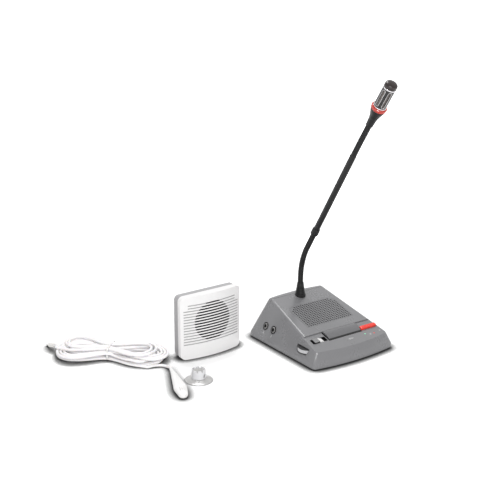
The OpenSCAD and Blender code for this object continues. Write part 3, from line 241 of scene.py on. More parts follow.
# The hank, in millimetres about its own middle. One round of cable is a dog bone, given at 24
# stations: a circle's centre and radius, the angle on it, and whether the circle shrinks (-1) or
# grows (1) with each round further inwards.
cord_d = 4.0
lobe_r, lobe_x, waist_y, waist_r = 30.0, 52.0, 15.0, 13.0
lean_a = math.atan2(waist_y + waist_r, lobe_x) + math.acos(
    (lobe_r + waist_r) / math.hypot(lobe_x, waist_y + waist_r))
lobe_steps = np.arange(9) / 8 * (2 * np.pi - 2 * lean_a)
waist_steps = np.arange(3) / 2 * (np.pi - 2 * lean_a)
right_lobe = [(-lobe_x, 0, lobe_r, a, -1) for a in -lean_a - lobe_steps]
left_lobe = [(lobe_x, 0, lobe_r, a, -1) for a in np.pi - lean_a - lobe_steps]
front_waist = [(0, waist_y + waist_r, waist_r, a, 1) for a in np.pi + lean_a + waist_steps]
rear_waist = [(0, -waist_y - waist_r, waist_r, a, 1) for a in lean_a + waist_steps]
# The rounds begin at the right lobe's eighth station, where the lead arrives.
start = 7
stations = np.array(right_lobe[start:] + front_waist + left_lobe + rear_waist + right_lobe[:start])

# It goes inwards for three rounds and outwards for the next three. At each turning point it climbs
# to the next layer within a third of a round.
rounds, last_stations, layer_rounds = 11, 8, 3
turn_step, layer_step, climb_before, climb_over = cord_d + 0.6, cord_d + 0.5, 0.125, 0.333
k = np.arange(rounds * len(stations) + last_stations)
t = k / len(stations)
inward = np.abs((t + layer_rounds) % (2 * layer_rounds) - layer_rounds)
level = np.round(t / layer_rounds)
u = np.clip((t - layer_rounds * level + climb_before) / climb_over, 0, 1)
layer = np.where(level < 1, 0, level - 1 + u * u * (3 - 2 * u))
cx, cy, r, a, grow = stations[k % len(stations)].T
reach = r + grow * turn_step * inward
flat = np.stack([cx + reach * np.cos(a), cy + reach * np.sin(a)], 1)

# Each layer is turned, shifted, drawn out and bowed against the one below, less so in the last
# 0.8 of a round.
hold = np.clip((t[-1] - t) / 0.8, 0, 1) ** 0.5
turned_by, shift_x, shift_y, out_x, out_y, bow = [hold * np.interp(layer, range(4), row) for row in (
    (0, -0.13, 0.11, -0.08), (0, 6, -6, 4), (0, -1.2, 1.4, -0.6), (0, -0.07, 0.03, -0.1),
    (0, -0.1, 0.07, -0.06), (0.0004, -0.0013, 0.0014, -0.0008))]
wide = flat[:, 0] * (1 + out_x) + shift_x
deep = flat[:, 1] * (1 + out_y) + shift_y + bow * flat[:, 0] ** 2
flat = np.stack([wide * np.cos(turned_by) - deep * np.sin(turned_by),
                 wide * np.sin(turned_by) + deep * np.cos(turned_by)], 1)
hank_x, hank_y, hank_a = -183.5, 168, math.radians(134)
c, s = math.cos(hank_a), math.sin(hank_a)
core = np.column_stack([hank_x + c * flat[:, 0] - s * flat[:, 1],
                        hank_y + s * flat[:, 0] + c * flat[:, 1], cord_d / 2 + layer_step * layer])


def unit(v):
    return np.asarray(v, float) / np.linalg.norm(v)


nose_a, capmic_middle, capmic_root = math.radians(-110), np.array([-146, 54, 6]), 14
nose = np.array([math.cos(nose_a), math.sin(nose_a), 0])
lead_root = capmic_middle - capmic_root * nose
plug_root, plug_dir = np.array([-246.9, 222, 14]), unit([0.05, 0.94, -0.34])
first, last = unit(core[1] - core[0]), unit(core[-1] - core[-2])
# The lead comes down from the microphone's root to the floor and runs along it to the hank.
lead = [lead_root, lead_root - 4 * nose, (-138.6, 77, 4.2), (-137.8, 84, 2.4), (-140, 91, 2),
        (-146, 95.8, 2), (-152.3, 98.2, 2), core[0] - 8 * first, core[0] - 4 * first]
tail = [core[-1] + 4 * last, core[-1] + 8 * last, plug_root - 4 * plug_dir, plug_root]
cable_line = eased(np.vstack([lead, core, tail]), 2.4) / 1000
cable = swept("cable", cable_line, cord_d / 2000, 14, (0, 0, 1))
sheath = Finish("white_vinyl_sheath", Subsurface_Weight=0.12, Subsurface_Radius=(0.004, 0.003, 0.002),
                Subsurface_Scale=0.3, Specular_IOR_Level=0.45)
smudge = sheath.noise(0.02, 4)
sheath.put({"Base Color": sheath.between(smudge, paint(232, 230, 231), paint(243, 241, 242)),
            "Roughness": 0.36 + 0.16 * sheath.noise(0.006, 3),
            "Normal": sheath.bump(sheath.noise(0.0009, 2), 0.00004)})
cable.data.materials.append(sheath.material)
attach(cable, "base")
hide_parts("cable_lead", "cable_hank", "cable_tail")


def dress(name, finish, smooth=True):
    """Gives a CAD node its finish; weld and edge split let its curved faces shade smoothly."""
    node = nodes[name]
    node.data.materials.clear()
    node.data.materials.append(finish.material)
    if smooth:
        node.data.polygons.foreach_set("use_smooth", np.full(len(node.data.polygons), True))
        weld = node.modifiers.new("weld", "WELD")
        weld.merge_threshold = 2e-6
        split = node.modifiers.new("crisp", "EDGE_SPLIT")
        split.split_angle = math.radians(28)
        split.use_edge_sharp = False


# The plug's white moulded body carries a nickel pin with two black rings.
pin_from, ring_spots, ring_half = 0.0221, (0.0262, 0.0297), 0.0004
plug = Finish("moulded_plug_and_pin")
reach = plug.along(tuple(plug_dir), tuple(plug_root / 1000))
pin = reach > pin_from
near, far = [(reach - spot).size() < ring_half for spot in ring_spots]
ring = near.most(far)
plug.put({"Base Color": plug.between(ring, plug.between(pin, paint(236, 234, 231), paint(206, 205, 203)),
                                     paint(25, 25, 25)),
          "Metallic": pin * (1 - ring), "Roughness": 0.42 - 0.2 * pin,
          "Normal": plug.bump(plug.noise(0.0006), 0.00003, 0.0003)})
dress("cable_plug", plug)

# A white twist wire holds the hank at its waist: a loop nearly square in shape, swept by a strip
# of paper with the wire along its middle.
tie_z, tie_half_x, tie_half_z = 9.3, 18.4, 9.1
a = np.linspace(0, 2 * np.pi, 97)[:-1]
squared = 1 / (np.abs(np.cos(a)) ** 5 + np.abs(np.sin(a)) ** 5) ** 0.2
lengthwise, across = np.array([c, s, 0]), np.array([-s, c, 0])
loop = (np.array([hank_x, hank_y, tie_z]) + (tie_half_x * squared * np.cos(a))[:, None] * across
        + (tie_half_z * squared * np.sin(a))[:, None] * np.array([0, 0, 1.0])) / 1000
strip = np.array([(-1.2, 0), (-1.1, 0.2), (-0.4, 0.25), (0, 0.5), (0.4, 0.25), (1.1, 0.2), (1.2, 0),
                  (0.5, -0.2), (0, -0.2), (-0.5, -0.2)]) / 1000
out = np.roll(loop, -1, 0) - np.roll(loop, 1, 0)
out = np.cross(out / np.linalg.norm(out, axis=1)[:, None], lengthwise)
rings = loop[:, None] + strip[None, :, 0, None] * lengthwise + strip[None, :, 1, None] * out[:, None]
tie = skin("cable_tie", np.concatenate([rings, rings[:1]]), close=False)
paper = Finish("paper_covered_wire")
paper.put({"Base Color": paper.between(paper.noise(0.004, 4), paint(228, 227, 226), paint(240, 239, 238)),
           "Roughness": 0.6 + 0.15 * paper.noise(0.002), "Normal": paper.bump(paper.noise(0.0008), 0.00008)})
tie.data.materials.append(paper.material)
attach(tie, "base")


# --- Customer microphone: two glossy white half shells pressed together over a capsule, with a
# tapered strain relief; small round ports in the upper shell.
def moulded(name, colour, rough, grain=0.0005, depth=0.00003, round_edge=0.0003, drift=0.05, **plain):
    """Injection moulding: a spark texture of grain and depth, a slow drift of shade, uneven gloss."""
    f = Finish(name, **plain)
    dark = tuple(v * (1 - drift) for v in colour[:3]) + (1.0,)
    light = tuple(min(1.0, v * (1 + drift)) for v in colour[:3]) + (1.0,)
    f.put({"Base Color": f.between(f.noise(0.03, 3), dark, light),
           "Roughness": rough + 0.12 * (f.noise(0.006, 4) - 0.5),
           "Normal": f.bump(f.noise(grain, 2), depth, round_edge)})
    return f


white_shell = moulded("white_shell", paint(236, 235, 234), 0.24, grain=0.0012, depth=0.00002,
                      round_edge=0.0006, drift=0.015)
dress("capmic_lower", white_shell)
dress("capmic_upper", white_shell)
# The capsule is black felt; its dark also stands as painted shade inside the upper shell's ports.
dress("capmic_capsule", moulded("capsule_felt_and_port_shade", paint(20, 20, 20), 0.9, grain=0.0006, depth=0.0001,
                                round_edge=0, drift=0.2))

# --- Suction cup: a flared disc of pale soft vinyl turned from one profile, thick at the stem and
# thin at its rim; the collar with notches is a separate stiff ring.
cup_profile = np.array([(0, 2.6), (6, 2.35), (10, 2.0), (14, 1.05), (16.5, 0.45), (18.2, 0.1), (19.2, 0),
                        (19.5, 0.25), (19.45, 0.6), (18.6, 0.95), (16.5, 1.7), (14, 2.9), (12, 3.9),
                        (10.4, 4.5), (8.9, 4.62), (8.6, 5.2), (8.6, 10), (8.55, 14.4), (8.2, 14.9),
                        (7, 15), (4, 14.75), (0, 14.6)])


def turned(name, profile, sides, place):
    """A surface of revolution: point (r, z) of the profile goes round at angle a, then to its place."""
    a = np.arange(sides) * 2 * np.pi / sides
    r, z = np.asarray(profile, float).T[:, :, None]
    p = np.stack([r * np.cos(a), r * np.sin(a), z + 0 * a, np.ones_like(r * a)], -1) / [1000, 1000, 1000, 1]
    return skin(name, (p @ np.asarray(place, float).T)[..., :3], close=False)


def refined(profile, step):
    """The profile with a smooth curve through its points."""
    flat = eased(np.column_stack([profile, np.zeros(len(profile))]), step)[:, :2]
    flat[:, 0] = np.maximum(flat[:, 0], 0)
    return flat


at_cup = Matrix.Translation((-0.122, 0.024, 0))
cup = turned("suction_disc", refined(cup_profile, 0.7), 128, at_cup)
soft_vinyl = Finish("pale_soft_vinyl", Subsurface_Weight=0.25, Subsurface_Radius=(0.006, 0.006, 0.006),
                    Subsurface_Scale=0.4, Coat_Roughness=0.15)
soft_vinyl.put({"Base Color": soft_vinyl.between(soft_vinyl.noise(0.012, 3), paint(160, 159, 158),
                                                 paint(188, 187, 186)),
                "Roughness": 0.16 + 0.12 * soft_vinyl.noise(0.005, 3), "Coat Weight": 0.5,
                "Normal": soft_vinyl.bump(soft_vinyl.noise(0.006, 2), 0.00025)})
cup.data.materials.append(soft_vinyl.material)
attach(cup, "base")
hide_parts("suction_cup")
dress("cup_collar", moulded("pale_collar", paint(214, 214, 216), 0.15, grain=0.001, depth=0.00002,
                            round_edge=0.0004))


# --- Customer speaker: bowed front cover with moulded lines, a back box screwed to it, both in
# light grey plastic; driver, cloth and socket inside.
def metal(name, colour, rough, round_edge=0.0002):
    """Plated or pressed metal: a fine noise in the bump, gloss that varies with handling."""
    f = Finish(name, Metallic=1.0)
    light = tuple(min(1, v * 1.15) for v in colour[:3]) + (1,)
    f.put({"Base Color": f.between(f.noise(0.004, 4), colour, light),
           "Roughness": rough + 0.15 * (f.noise(0.002, 3) - 0.5),
           "Normal": f.bump(f.noise(0.0008, 3), 0.00002, round_edge)})
    return f


# The cover's front is a cylinder of radius bow_r. What lies under it is a groove, painted with grey
# shade beside the round field and with black shade in the field, where the grooves are open slots.
cover_x, bow_y, bow_r, shell_y, groove_from = -0.0555, 0.27225, 0.18575, 0.097, 0.0002
panel_z, panel_half_x, panel_half_z = 0.0535, 0.0478, 0.0318
field_z, field_r, slot_z, slot_step, lip_share = 0.05465, 0.0303, 0.02325, 0.0043, 0.265
# The cover and the back box are one light grey plastic: the cover's grey is painted lighter, as painted
# light on the front, and the box's grey darker, as painted shade on the sides.
light_grey = moulded("light_grey_shell", paint(231, 230, 230), 0.3, grain=0.0006, drift=0.02)
x, y, z = light_grey.axes()
beside, above = x - cover_x, z - field_z
sunk = bow_r - (beside * beside + (y - bow_y) * (y - bow_y)).math("SQRT")
groove = (sunk - groove_from).ramp(1500) * (beside.size() < panel_half_x) * (
    (z - panel_z).size() < panel_half_z)
in_field = beside * beside + above * above < field_r ** 2
# The open slots' edges get painted shade for 0.3 mm about each, as the dark of a slot is wider in the
# photograph.
lip_shade = ((((z - slot_z) / slot_step + 0.5).part() - 0.5).size() < lip_share) * in_field * (y < shell_y)
light_grey.paint_over(groove.most(lip_shade),
                      light_grey.between(in_field, paint(158, 157, 158), paint(24, 24, 25)))
dress("cover_front", light_grey)
# The back box's darker grey is painted shade on the speaker's sides.
dress("cover_back", moulded("light_grey_box_painted_shade", paint(160, 159, 161), 0.36, grain=0.0006,
                            round_edge=0.0008, drift=0.02))
zinc = metal("zinc_plate", paint(186, 188, 192), 0.36)
dress("cover_screws", zinc)
dress("driver_basket", metal("pressed_steel", paint(150, 151, 154), 0.42))
paper_cone = moulded("treated_paper", paint(34, 33, 33), 0.85, grain=0.0012, depth=0.00015,
                     round_edge=0, drift=0.25)
dress("driver_cone", paper_cone)
cloth = Finish("black_dust_cloth", Roughness=0.95)
x, y, z = cloth.axes()
threads = 5200
weave = (x * threads).sin() * (z * threads).sin()
cloth.put({"Base Color": cloth.between(weave * 0.5 + 0.5, paint(10, 10, 10), paint(44, 44, 45)),
           "Normal": cloth.bump(weave, 0.0001)})
dress("dust_cloth", cloth)
socket_black = moulded("socket_black", paint(26, 26, 27), 0.32, grain=0.0008, depth=0.00002,
                       round_edge=0.0002, drift=0.1)
dress("speaker_socket", socket_black)

# --- Console housing: one grey moulding with a sloping top and a sunk ledge for the keys, in
# spark-textured plastic that has gone a little shiny where hands rest.
body_grey = Finish("console_grey", Specular_IOR_Level=0.5, Coat_Weight=0.2, Coat_Roughness=0.1)
hands = body_grey.noise(0.05, 4)
x, y, z = body_grey.axes()
# A thin line of painted shade runs across the top at the crease before the ridge at the rear, sunk a little
# in the bump.
crease_y, crease_half, crease_z = 0.0906, 0.00035, 0.055
crease_shade = ((y - crease_y).size() < crease_half) * (z > crease_z)
# On the slope, v runs up it and w out of it, both from slope_foot. The walls of the slide
# switch's slot get black painted shade below the ledge, which lies 1.6 mm deep.
slope_a, slope_foot = math.radians(15), (0.1035, -0.0412, 0.026684)
slope_v = (0, math.cos(slope_a), math.sin(slope_a))
slope_w = (0, -math.sin(slope_a), math.cos(slope_a))
slot_x, slot_v, slot_half_x, slot_half_v, slot_top = 0.05875, 0.0228, 0.01365, 0.0052, -0.00185
slot_wall_shade = ((x - slot_x).size() < slot_half_x) * (
    (body_grey.along(slope_v, slope_foot) - slot_v).size() < slot_half_v) * (
    body_grey.along(slope_w, slope_foot) < slot_top)
plain = body_grey.between(body_grey.noise(0.06, 4), paint(114, 114, 116), paint(122, 122, 124))
body_grey.put({"Base Color": body_grey.between(
                   slot_wall_shade, body_grey.between(crease_shade, plain, paint(70, 70, 72)), paint(12, 12, 13)),
               "Roughness": 0.19 + 0.12 * hands + 0.05 * body_grey.noise(0.003, 3),
               "Normal": body_grey.bump(body_grey.noise(0.0005, 3) - 4 * crease_shade, 0.000035, 0.0005)})
dress("housing", body_grey)
# The grille's holes are flared at the face in the bump, and each has a ring of painted shade about
# its bore. Columns and rows are counted from the field's middle, in steps from bore to bore.
grille_x, grille_v, bore_step = 0.1055, 0.0803, 0.004
bore_shade_r2, last_column, last_row, last_sum = 0.115, 10.5, 6.5, 14.5
grille_grey = Finish("grille_grey")
x, y, z = grille_grey.axes()
row = (grille_grey.along(slope_v, slope_foot) - grille_v) / bore_step
column = (x - grille_x) / bore_step
off_row, off_column = [(count + 0.5).part() - 0.5 for count in (row, column)]
bore_shade = (off_column * off_column + off_row * off_row < bore_shade_r2) * (
    column.size() < last_column) * (row.size() < last_row) * (column.size() + row < last_sum)
grille_grey.put({"Base Color": grille_grey.between(bore_shade, paint(112, 112, 114), paint(48, 48, 49)),
                 "Roughness": 0.34 + 0.3 * bore_shade,
                 "Normal": grille_grey.bump(grille_grey.noise(0.0005, 3) - 3 * bore_shade, 0.00003)})
dress("speaker_grille", grille_grey)
dress("base_plate", moulded("base_black", paint(38, 38, 39), 0.6))
dress("rubber_feet", moulded("foot_rubber", paint(30, 30, 30), 0.85, grain=0.0004, depth=0.00006,
                             round_edge=0.0004, drift=0.15))
for name in ("base_screws", "monitor_screws", "board_screws"):
    dress(name, zinc)

# --- Monitor speaker and boards: a pressed basket with a paper cone under the grille, green
# circuit boards on posts, all behind the housing.
dress("monitor_basket", metal("monitor_steel", paint(140, 141, 144), 0.45))
dress("monitor_cone", paper_cone)
dress("monitor_magnet", metal("magnet_steel", paint(96, 96, 100), 0.5))
board = Finish("circuit_board", Roughness=0.4)
x, y, z = board.axes()
rows, track_share = 420, 0.3
tracks = ((x * rows).part() < track_share) * (board.noise(0.012, 2) > 0.5)
board.put({"Base Color": board.between(tracks, paint(26, 92, 52), paint(54, 128, 76)),
           "Normal": board.bump(tracks, 0.00004)})
dress("main_board", board, smooth=False)
dress("key_board", board, smooth=False)
chips = moulded("component_black", paint(34, 34, 36), 0.5)
for name in ("board_parts", "key_switches"):
    dress(name, chips)


# --- Keys: a long crowned talk bar and a red button on cream plungers, each a shell that slides
# in the ledge; the slide switch has a ribbed grey knob and a white piece beside it.
def shaded_below(name, colour, rough, level, round_edge=0.0005):
    """A key's plastic, with black painted shade below a level on w, where its walls go down into the ledge.
    """
    f = moulded(name, colour, rough, round_edge=round_edge)
    f.paint_over((level - f.along(slope_w, slope_foot)).ramp(3000), paint(20, 20, 22))
    return f


# The talk bar and the switch's knob get painted shade on their walls below the ledge.
dress("talk_bar", shaded_below("talk_bar_grey", paint(104, 104, 106), 0.24, level=-0.0012))
cream = moulded("cream_post", paint(226, 220, 200), 0.5)
dress("talk_plungers", cream)
dress("button_plunger", cream)
button_red = moulded("button_red", paint(226, 58, 46), 0.26, grain=0.001, depth=0.00001,
                     round_edge=0.0008, drift=0.04, Subsurface_Weight=0.15,
                     Subsurface_Radius=(0.004, 0.0006, 0.0004), Subsurface_Scale=0.4)
on_slope = Matrix.Translation(slope_foot) @ Matrix.Rotation(slope_a, 4, "X")


def laid(name, points, faces, place, finish, body, smooth=True):
    """A piece given in millimetres in a frame of its own."""
    points = np.asarray(points, float).reshape(-1, 3) / 1000
    piece = finished(name, points @ np.array(place.to_3x3()).T + np.array(place.translation), faces, smooth)
    piece.data.materials.append(finish.material)
    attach(piece, body)
    return piece


# The button is a bar of 29.6 by 7 mm with rounded edges. Ring i lies at height w[i] and is drawn in
# by m[i]; its outline is a rounded rectangle of radius bar_corner.
bar_x, bar_v, bar_half, bar_deep, bar_corner, bar_sides = 48.2, 22.2, 14.8, 3.5, 2.2, 64
a = np.arange(bar_sides) * 2 * np.pi / bar_sides
corner_x = np.sign(np.cos(a)) * (bar_half - bar_corner)
corner_v = np.sign(np.sin(a)) * (bar_deep - bar_corner)
m = np.array([0, 0, 0.1, 0.4, 0.9, 1.6, 2.1])
w = np.array([-8.5, 0.1, 0.6, 1.05, 1.35, 1.5, 1.52])
left = bar_corner - m[:, None]
outline = np.stack([corner_x + np.cos(a) * left, corner_v + np.sin(a) * left, w[:, None] + 0 * a], -1)
button = laid("red_bar", outline + [bar_x, bar_v, 0], ring_faces(len(w), bar_sides), on_slope,
              button_red, "call_key")
crisp = button.modifiers.new("crisp", "EDGE_SPLIT")
crisp.split_angle = math.radians(50)
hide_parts("red_button")

# The opening in the ledge is wider than the button, so a sill closes the rest of it on each long
# side, 0.35 mm clear of the button.
open_x, open_v, sill_w, clear_v = (33.2, 63.35), (16.05, 30.95), (-3.2, -1.6), bar_deep + 0.35
box_faces = [(0, 2, 3, 1), (4, 5, 7, 6), (0, 1, 5, 4), (2, 6, 7, 3), (0, 4, 6, 2), (1, 3, 7, 5)]
for name, sill_v in (("sill_front", (open_v[0], bar_v - clear_v)),
                     ("sill_rear", (bar_v + clear_v, open_v[1]))):
    corners = [(x, v, w) for w in sill_w for v in sill_v for x in open_x]
    laid(name, corners, box_faces, on_slope, body_grey, "base", smooth=False)
dress("mode_switch", moulded("switch_black", paint(12, 12, 12), 0.6, Specular_IOR_Level=0.25))
dress("mode_knob", shaded_below("knob_grey", paint(128, 128, 129), 0.4, level=0.0001, round_edge=0.0004))
dress("mode_mark", moulded("mark_white", paint(244, 243, 242), 0.3))

# --- Volume wheel: a ribbed disc on an upright shaft, its rim standing through the left side. The
# photographed wheel is thinner, so all but a band of the rim is painted dark, as shade of the slot about it.
wheel_z, band_half = 0.0197, 0.0024
wheel_grey = moulded("wheel_grey", paint(186, 186, 188), 0.3)
x, y, z = wheel_grey.axes()
# Painted shade on the rim above and below its middle band.
wheel_grey.paint_over(((z - wheel_z).size() - band_half).ramp(4000), paint(24, 24, 25))
dress("volume_wheel", wheel_grey)
dress("volume_shaft", moulded("shaft_white", paint(214, 213, 210), 0.5))
dress("volume_pot", moulded("laminate_brown", paint(118, 84, 52), 0.55))

# --- Sockets: black bodies behind the left side, each held by a slotted bright nut on a black
# washer; the power inlet at the rear and two lamps in the ledge.
dress("jack_sockets", socket_black)
dress("jack_washers", socket_black)
dress("jack_nuts", metal("nickel_nut", paint(132, 131, 130), 0.24))
dress("dc_inlet", socket_black)
lamps = Finish("two_lamps", Roughness=0.18, Coat_Weight=0.5)
x, y, z = lamps.axes()
between_lamps = 0.144
right_lamp = x > between_lamps
lamps.put({"Base Color": lamps.between(right_lamp, paint(120, 200, 160), paint(214, 90, 84)),
           "Emission Color": lamps.between(right_lamp, paint(90, 190, 140), paint(214, 60, 50)),
           "Emission Strength": 0.15})
dress("power_leds", lamps)

# --- Gooseneck: a threaded stub and nut hold a ribbed rubber boot; two flexible stretches of
# wound black steel stand below and above a stiff satin tube.
dress("neck_stub", zinc)
dress("neck_nut", metal("turned_brass", paint(196, 172, 110), 0.3))
boot_rubber = moulded("boot_rubber", paint(16, 16, 17), 0.4, grain=0.0004, depth=0.00005, drift=0.12,
                      Specular_IOR_Level=0.3)
dress("neck_boot", boot_rubber)
dress("neck_sleeve", boot_rubber)
satin_black = Finish("satin_black_paint", Specular_IOR_Level=0.25, Coat_Roughness=0.3)
satin_black.put({"Base Color": satin_black.between(satin_black.noise(0.02, 4), paint(16, 16, 17),
                                                   paint(26, 26, 27)),
                 "Roughness": 0.34 + 0.14 * satin_black.noise(0.004, 3), "Coat Weight": 0.08,
                 "Normal": satin_black.bump(satin_black.noise(0.0007, 3), 0.00003, 0.0002)})
dress("neck_tube", satin_black)

# The neck's line in millimetres: upright to bend_z, a bend of radius bend_r to the lean, straight
# along the tube, then the top stretch, which leans a little more towards its end.
neck_x, neck_y, bend_z, bend_r, lean = 103.5, 84.0, 88.0, 102.0, math.radians(31.5)
corner_l, bend_l = bend_r * math.tan(lean / 2), bend_r * lean
sleeve_at, tube_end, upper_l, upper_a = 62, 220, 70.0, math.radians(2.2)
rise = np.array([0, -math.sin(lean), math.cos(lean)])
fall = np.array([0, -math.cos(lean), -math.sin(lean)])
upper_foot = np.array([neck_x, neck_y, bend_z + corner_l]) + tube_end * rise
wound = Finish("wound_black_steel", Metallic=0.2, Specular_IOR_Level=0.25)
wound.put({"Base Color": wound.between(wound.noise(0.01, 4), paint(18, 18, 19), paint(32, 32, 33)),
           "Roughness": 0.4 + 0.14 * wound.noise(0.003, 3),
           "Normal": wound.bump(wound.noise(0.0005, 2), 0.00003)})


def lower_line(l):
    """Upright below the bend, round a circle of radius bend_r, then straight along the lean."""
    a = np.clip(l / bend_r, 0, lean)
    up, past = np.minimum(l, 0), np.maximum(l - bend_l, 0)
    return np.stack([0 * l + neck_x, neck_y - bend_r * (1 - np.cos(a)) - past * math.sin(lean),
                     bend_z + bend_r * np.sin(a) + up + past * math.cos(lean)], 1)


def upper_line(l):
    """A slight circle from the tube's end, bending further down."""
    a, r = l / upper_l * upper_a, upper_l / upper_a
    return upper_foot + r * np.sin(a)[:, None] * rise + r * (1 - np.cos(a))[:, None] * fall


def flexible(name, line, l0, l1, node):
    """A wound stretch: a rod with a round groove at every step of the coil, plain for end_l at its ends."""
    coil_r, groove, coil_step, end_l, ring_step = 4.3, 0.55, 2.3, 6.0, 0.28
    l = np.linspace(l0, l1, int((l1 - l0) / ring_step))
    inside = np.clip(np.minimum(l - l0, l1 - l) - end_l, 0, 1)
    radius = coil_r - groove * inside * (0.5 + 0.5 * np.cos(2 * np.pi * l / coil_step)) ** 1.6
    piece = swept(name, line(l) / 1000, radius / 1000, 40, (1, 0, 0))
    piece.data.materials.append(wound.material)
    tuple(line(np.array([l0 + end_l]))[0] / 1000)
    tuple(line(np.array([l1 - end_l]))[0] / 1000)
    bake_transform(piece)
    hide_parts(node)


low_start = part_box("neck_flex_low")[0].z * 1000 - bend_z
sleeve_l = sleeve_at - corner_l + bend_l
flexible("flexible_root", lower_line, low_start, bend_l / 2, "neck_flex_low")
flexible("flexible_middle", lower_line, bend_l / 2, sleeve_l, "neck_flex_mid")
flexible("flexible_top", upper_line, 0.0, upper_l, "neck_flex_top")

# --- Microphone head: a flared boot, a red lamp ring, a dark cage with bright window edges over
# a woven screen, a bright ring at each end of the cage, and a domed cap.
dress("mic_boot", moulded("boot_dark", paint(20, 20, 21), 0.42, depth=0.00004, round_edge=0.0004,
                          drift=0.08, Specular_IOR_Level=0.25))
cap_dark = moulded("cap_dark", paint(44, 37, 36), 0.26, grain=0.0006, round_edge=0.0004, drift=0.06,
                   Specular_IOR_Level=0.35)
dress("light_ring", moulded("lamp_ring_red", paint(206, 40, 18), 0.25, grain=0.002, depth=0.00004,
                            drift=0.06, Coat_Weight=0.4, Subsurface_Weight=0.3, Subsurface_Scale=0.5))
bright_trim = metal("bright_trim", paint(196, 194, 196), 0.12, round_edge=0.0001)
dress("mic_capsule", metal("pressed_can", paint(190, 190, 192), 0.3))
head_a = lean + upper_a
head_dir = np.array([0, -math.sin(head_a), math.cos(head_a)])
head_side = np.array([0, math.cos(head_a), math.sin(head_a)])
head_foot = upper_line(np.array([upper_l]))[0] / 1000
on_head = Matrix.Translation(head_foot) @ Matrix.Rotation(head_a, 4, "X")

# The cage's finish goes by the distance from the head's axis: woven wires inside screen_r, bright
# metal on the window lips outside lip_r, and dark plastic between.
screen_r, lip_r, wire_rows, wire_columns = 0.0083, 0.00899, 5600, 46
screen = Finish("woven_screen", Roughness=0.32)
up = screen.along(tuple(head_dir), tuple(head_foot))
deep = screen.along(tuple(head_side), tuple(head_foot))
x, y, z = screen.axes()
x = x - neck_x / 1000
wires = (up * wire_rows).sin().size().most((x.math("ARCTAN2", deep) * wire_columns).sin().size())
off_axis = (x * x + deep * deep).math("SQRT")
sunk = off_axis < screen_r
lip = off_axis > lip_r
mesh_paint = screen.between(wires > 0.8, paint(34, 30, 29), paint(122, 116, 113))
screen.put({"Base Color": screen.between(
                lip, screen.between(sunk, paint(20, 18, 18), mesh_paint), paint(222, 220, 221)),
            "Metallic": (sunk * 0.8).most(lip), "Normal": screen.bump(wires * sunk, 0.00025)})

# The cage is one skin in millimetres. Six upright windows are sunk in it, down to the woven screen,
# and each has a lip round it: "far" is the distance to the nearest window's outline.
cage_r, cage_low, cage_high, cage_rings, cage_sides = 8.85, 22.9, 53.5, 123, 288
window_at_r, sunk_by, lip_from, lip_high, lip_wide = 8.9, 0.9, 0.4, 0.25, 0.3
window_a, window_r, window_z, window_half, sector = math.radians(8), 1.9, 38.2, 11.2, np.pi / 3
turn = np.arange(cage_sides) * 2 * np.pi / cage_sides
level = np.linspace(cage_low, cage_high, cage_rings)
beside = ((turn - window_a + sector / 2) % sector - sector / 2) * window_at_r
above = np.maximum(np.abs(level - window_z) - window_half, 0)
far = np.hypot(above[:, None], beside) - window_r
radius = (cage_r - sunk_by * np.clip(0.5 - far / lip_wide, 0, 1)
          + lip_high * np.exp(-((far - lip_from) / lip_wide) ** 2))
cage = np.dstack([radius, level[:, None] + 0 * radius])
bright_rim = [(7.4, 0.02), (9.1, 0.02), (9.35, 0.45), (9.35, 1.2), (9.1, 1.68), (7.4, 1.68)]
dome = [(8.5, 0), (8.85, 0.3), (8.95, 1), (8.95, 3.6), (8.6, 4.9), (7.6, 6), (5.8, 6.9), (3.4, 7.4),
        (0.6, 7.6)]
for name, rings, shift, finish, slot, stands_for in (
        ("head_cage", cage, 0, screen, "mic_dark", ("mic_cage", "mic_screen")),
        ("head_rim_low", bright_rim, 21.1, bright_trim, "trim_chrome", ("cage_trim",)),
        ("head_rim_high", bright_rim, 53.55, bright_trim, "trim_chrome", ()),
        ("head_cap", dome, 55.3, cap_dark, "cap_grey", ("mic_cap",))):
    rings = np.array(rings, float)
    if rings.ndim == 2:
        rings = np.repeat(rings[:, None], 96, 1)
    count, sides = rings.shape[:2]
    turn = np.arange(sides) * 2 * np.pi / sides
    r, h = rings[..., 0], rings[..., 1] + shift
    points = np.stack([r * np.cos(turn), r * np.sin(turn), h], -1)
    piece = laid(name, points, ring_faces(count, sides), on_head, finish, "mic_head")
    crisp = piece.modifiers.new("crisp", "EDGE_SPLIT")
    crisp.split_angle = math.radians(40)
    if stands_for:
        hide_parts(*stands_for)

# --- Printed marks: white numbers beside the sockets, by the lamps and under the talk bar.
ink = Finish("white_print", Roughness=0.5)
ink.put({"Base Color": ink.between(ink.noise(0.0012, 3), paint(214, 214, 214), paint(240, 240, 240))})


def printed(name, words, size, place, stretch=1.0):
    """Flat letters 0.03 mm thick, laid on a face by the given place."""
    letters = bpy.data.curves.new(name, "FONT")
    letters.body, letters.size, letters.align_x, letters.extrude = words, size, "CENTER", 0.000015
    shape = bpy.data.objects.new(name, letters)
    bpy.context.scene.collection.objects.link(shape)
    bpy.context.view_layer.update()
    mesh = bpy.data.meshes.new_from_object(shape.evaluated_get(bpy.context.evaluated_depsgraph_get()))
    bpy.data.objects.remove(shape)
    mesh.transform(place @ Matrix.Diagonal((stretch, 1, 1, 1)))
    piece = bpy.data.objects.new(name, mesh)
    bpy.context.scene.collection.objects.link(piece)
    piece.data.materials.clear()
    piece.data.materials.append(ink.material)
    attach(piece, "base")


small, large, ledge_w = 0.0034, 0.0048, -0.00156
for name, words, x, v in (("mark_keys", "12345", 0.004, 0.0069), ("mark_lamps", "67", 0.0405, 0.0046),
                          ("mark_call", "8", 0.0605, 0.0069)):
    printed(name, words, small, on_slope @ Matrix.Translation((x, v, ledge_w)), stretch=1.15)
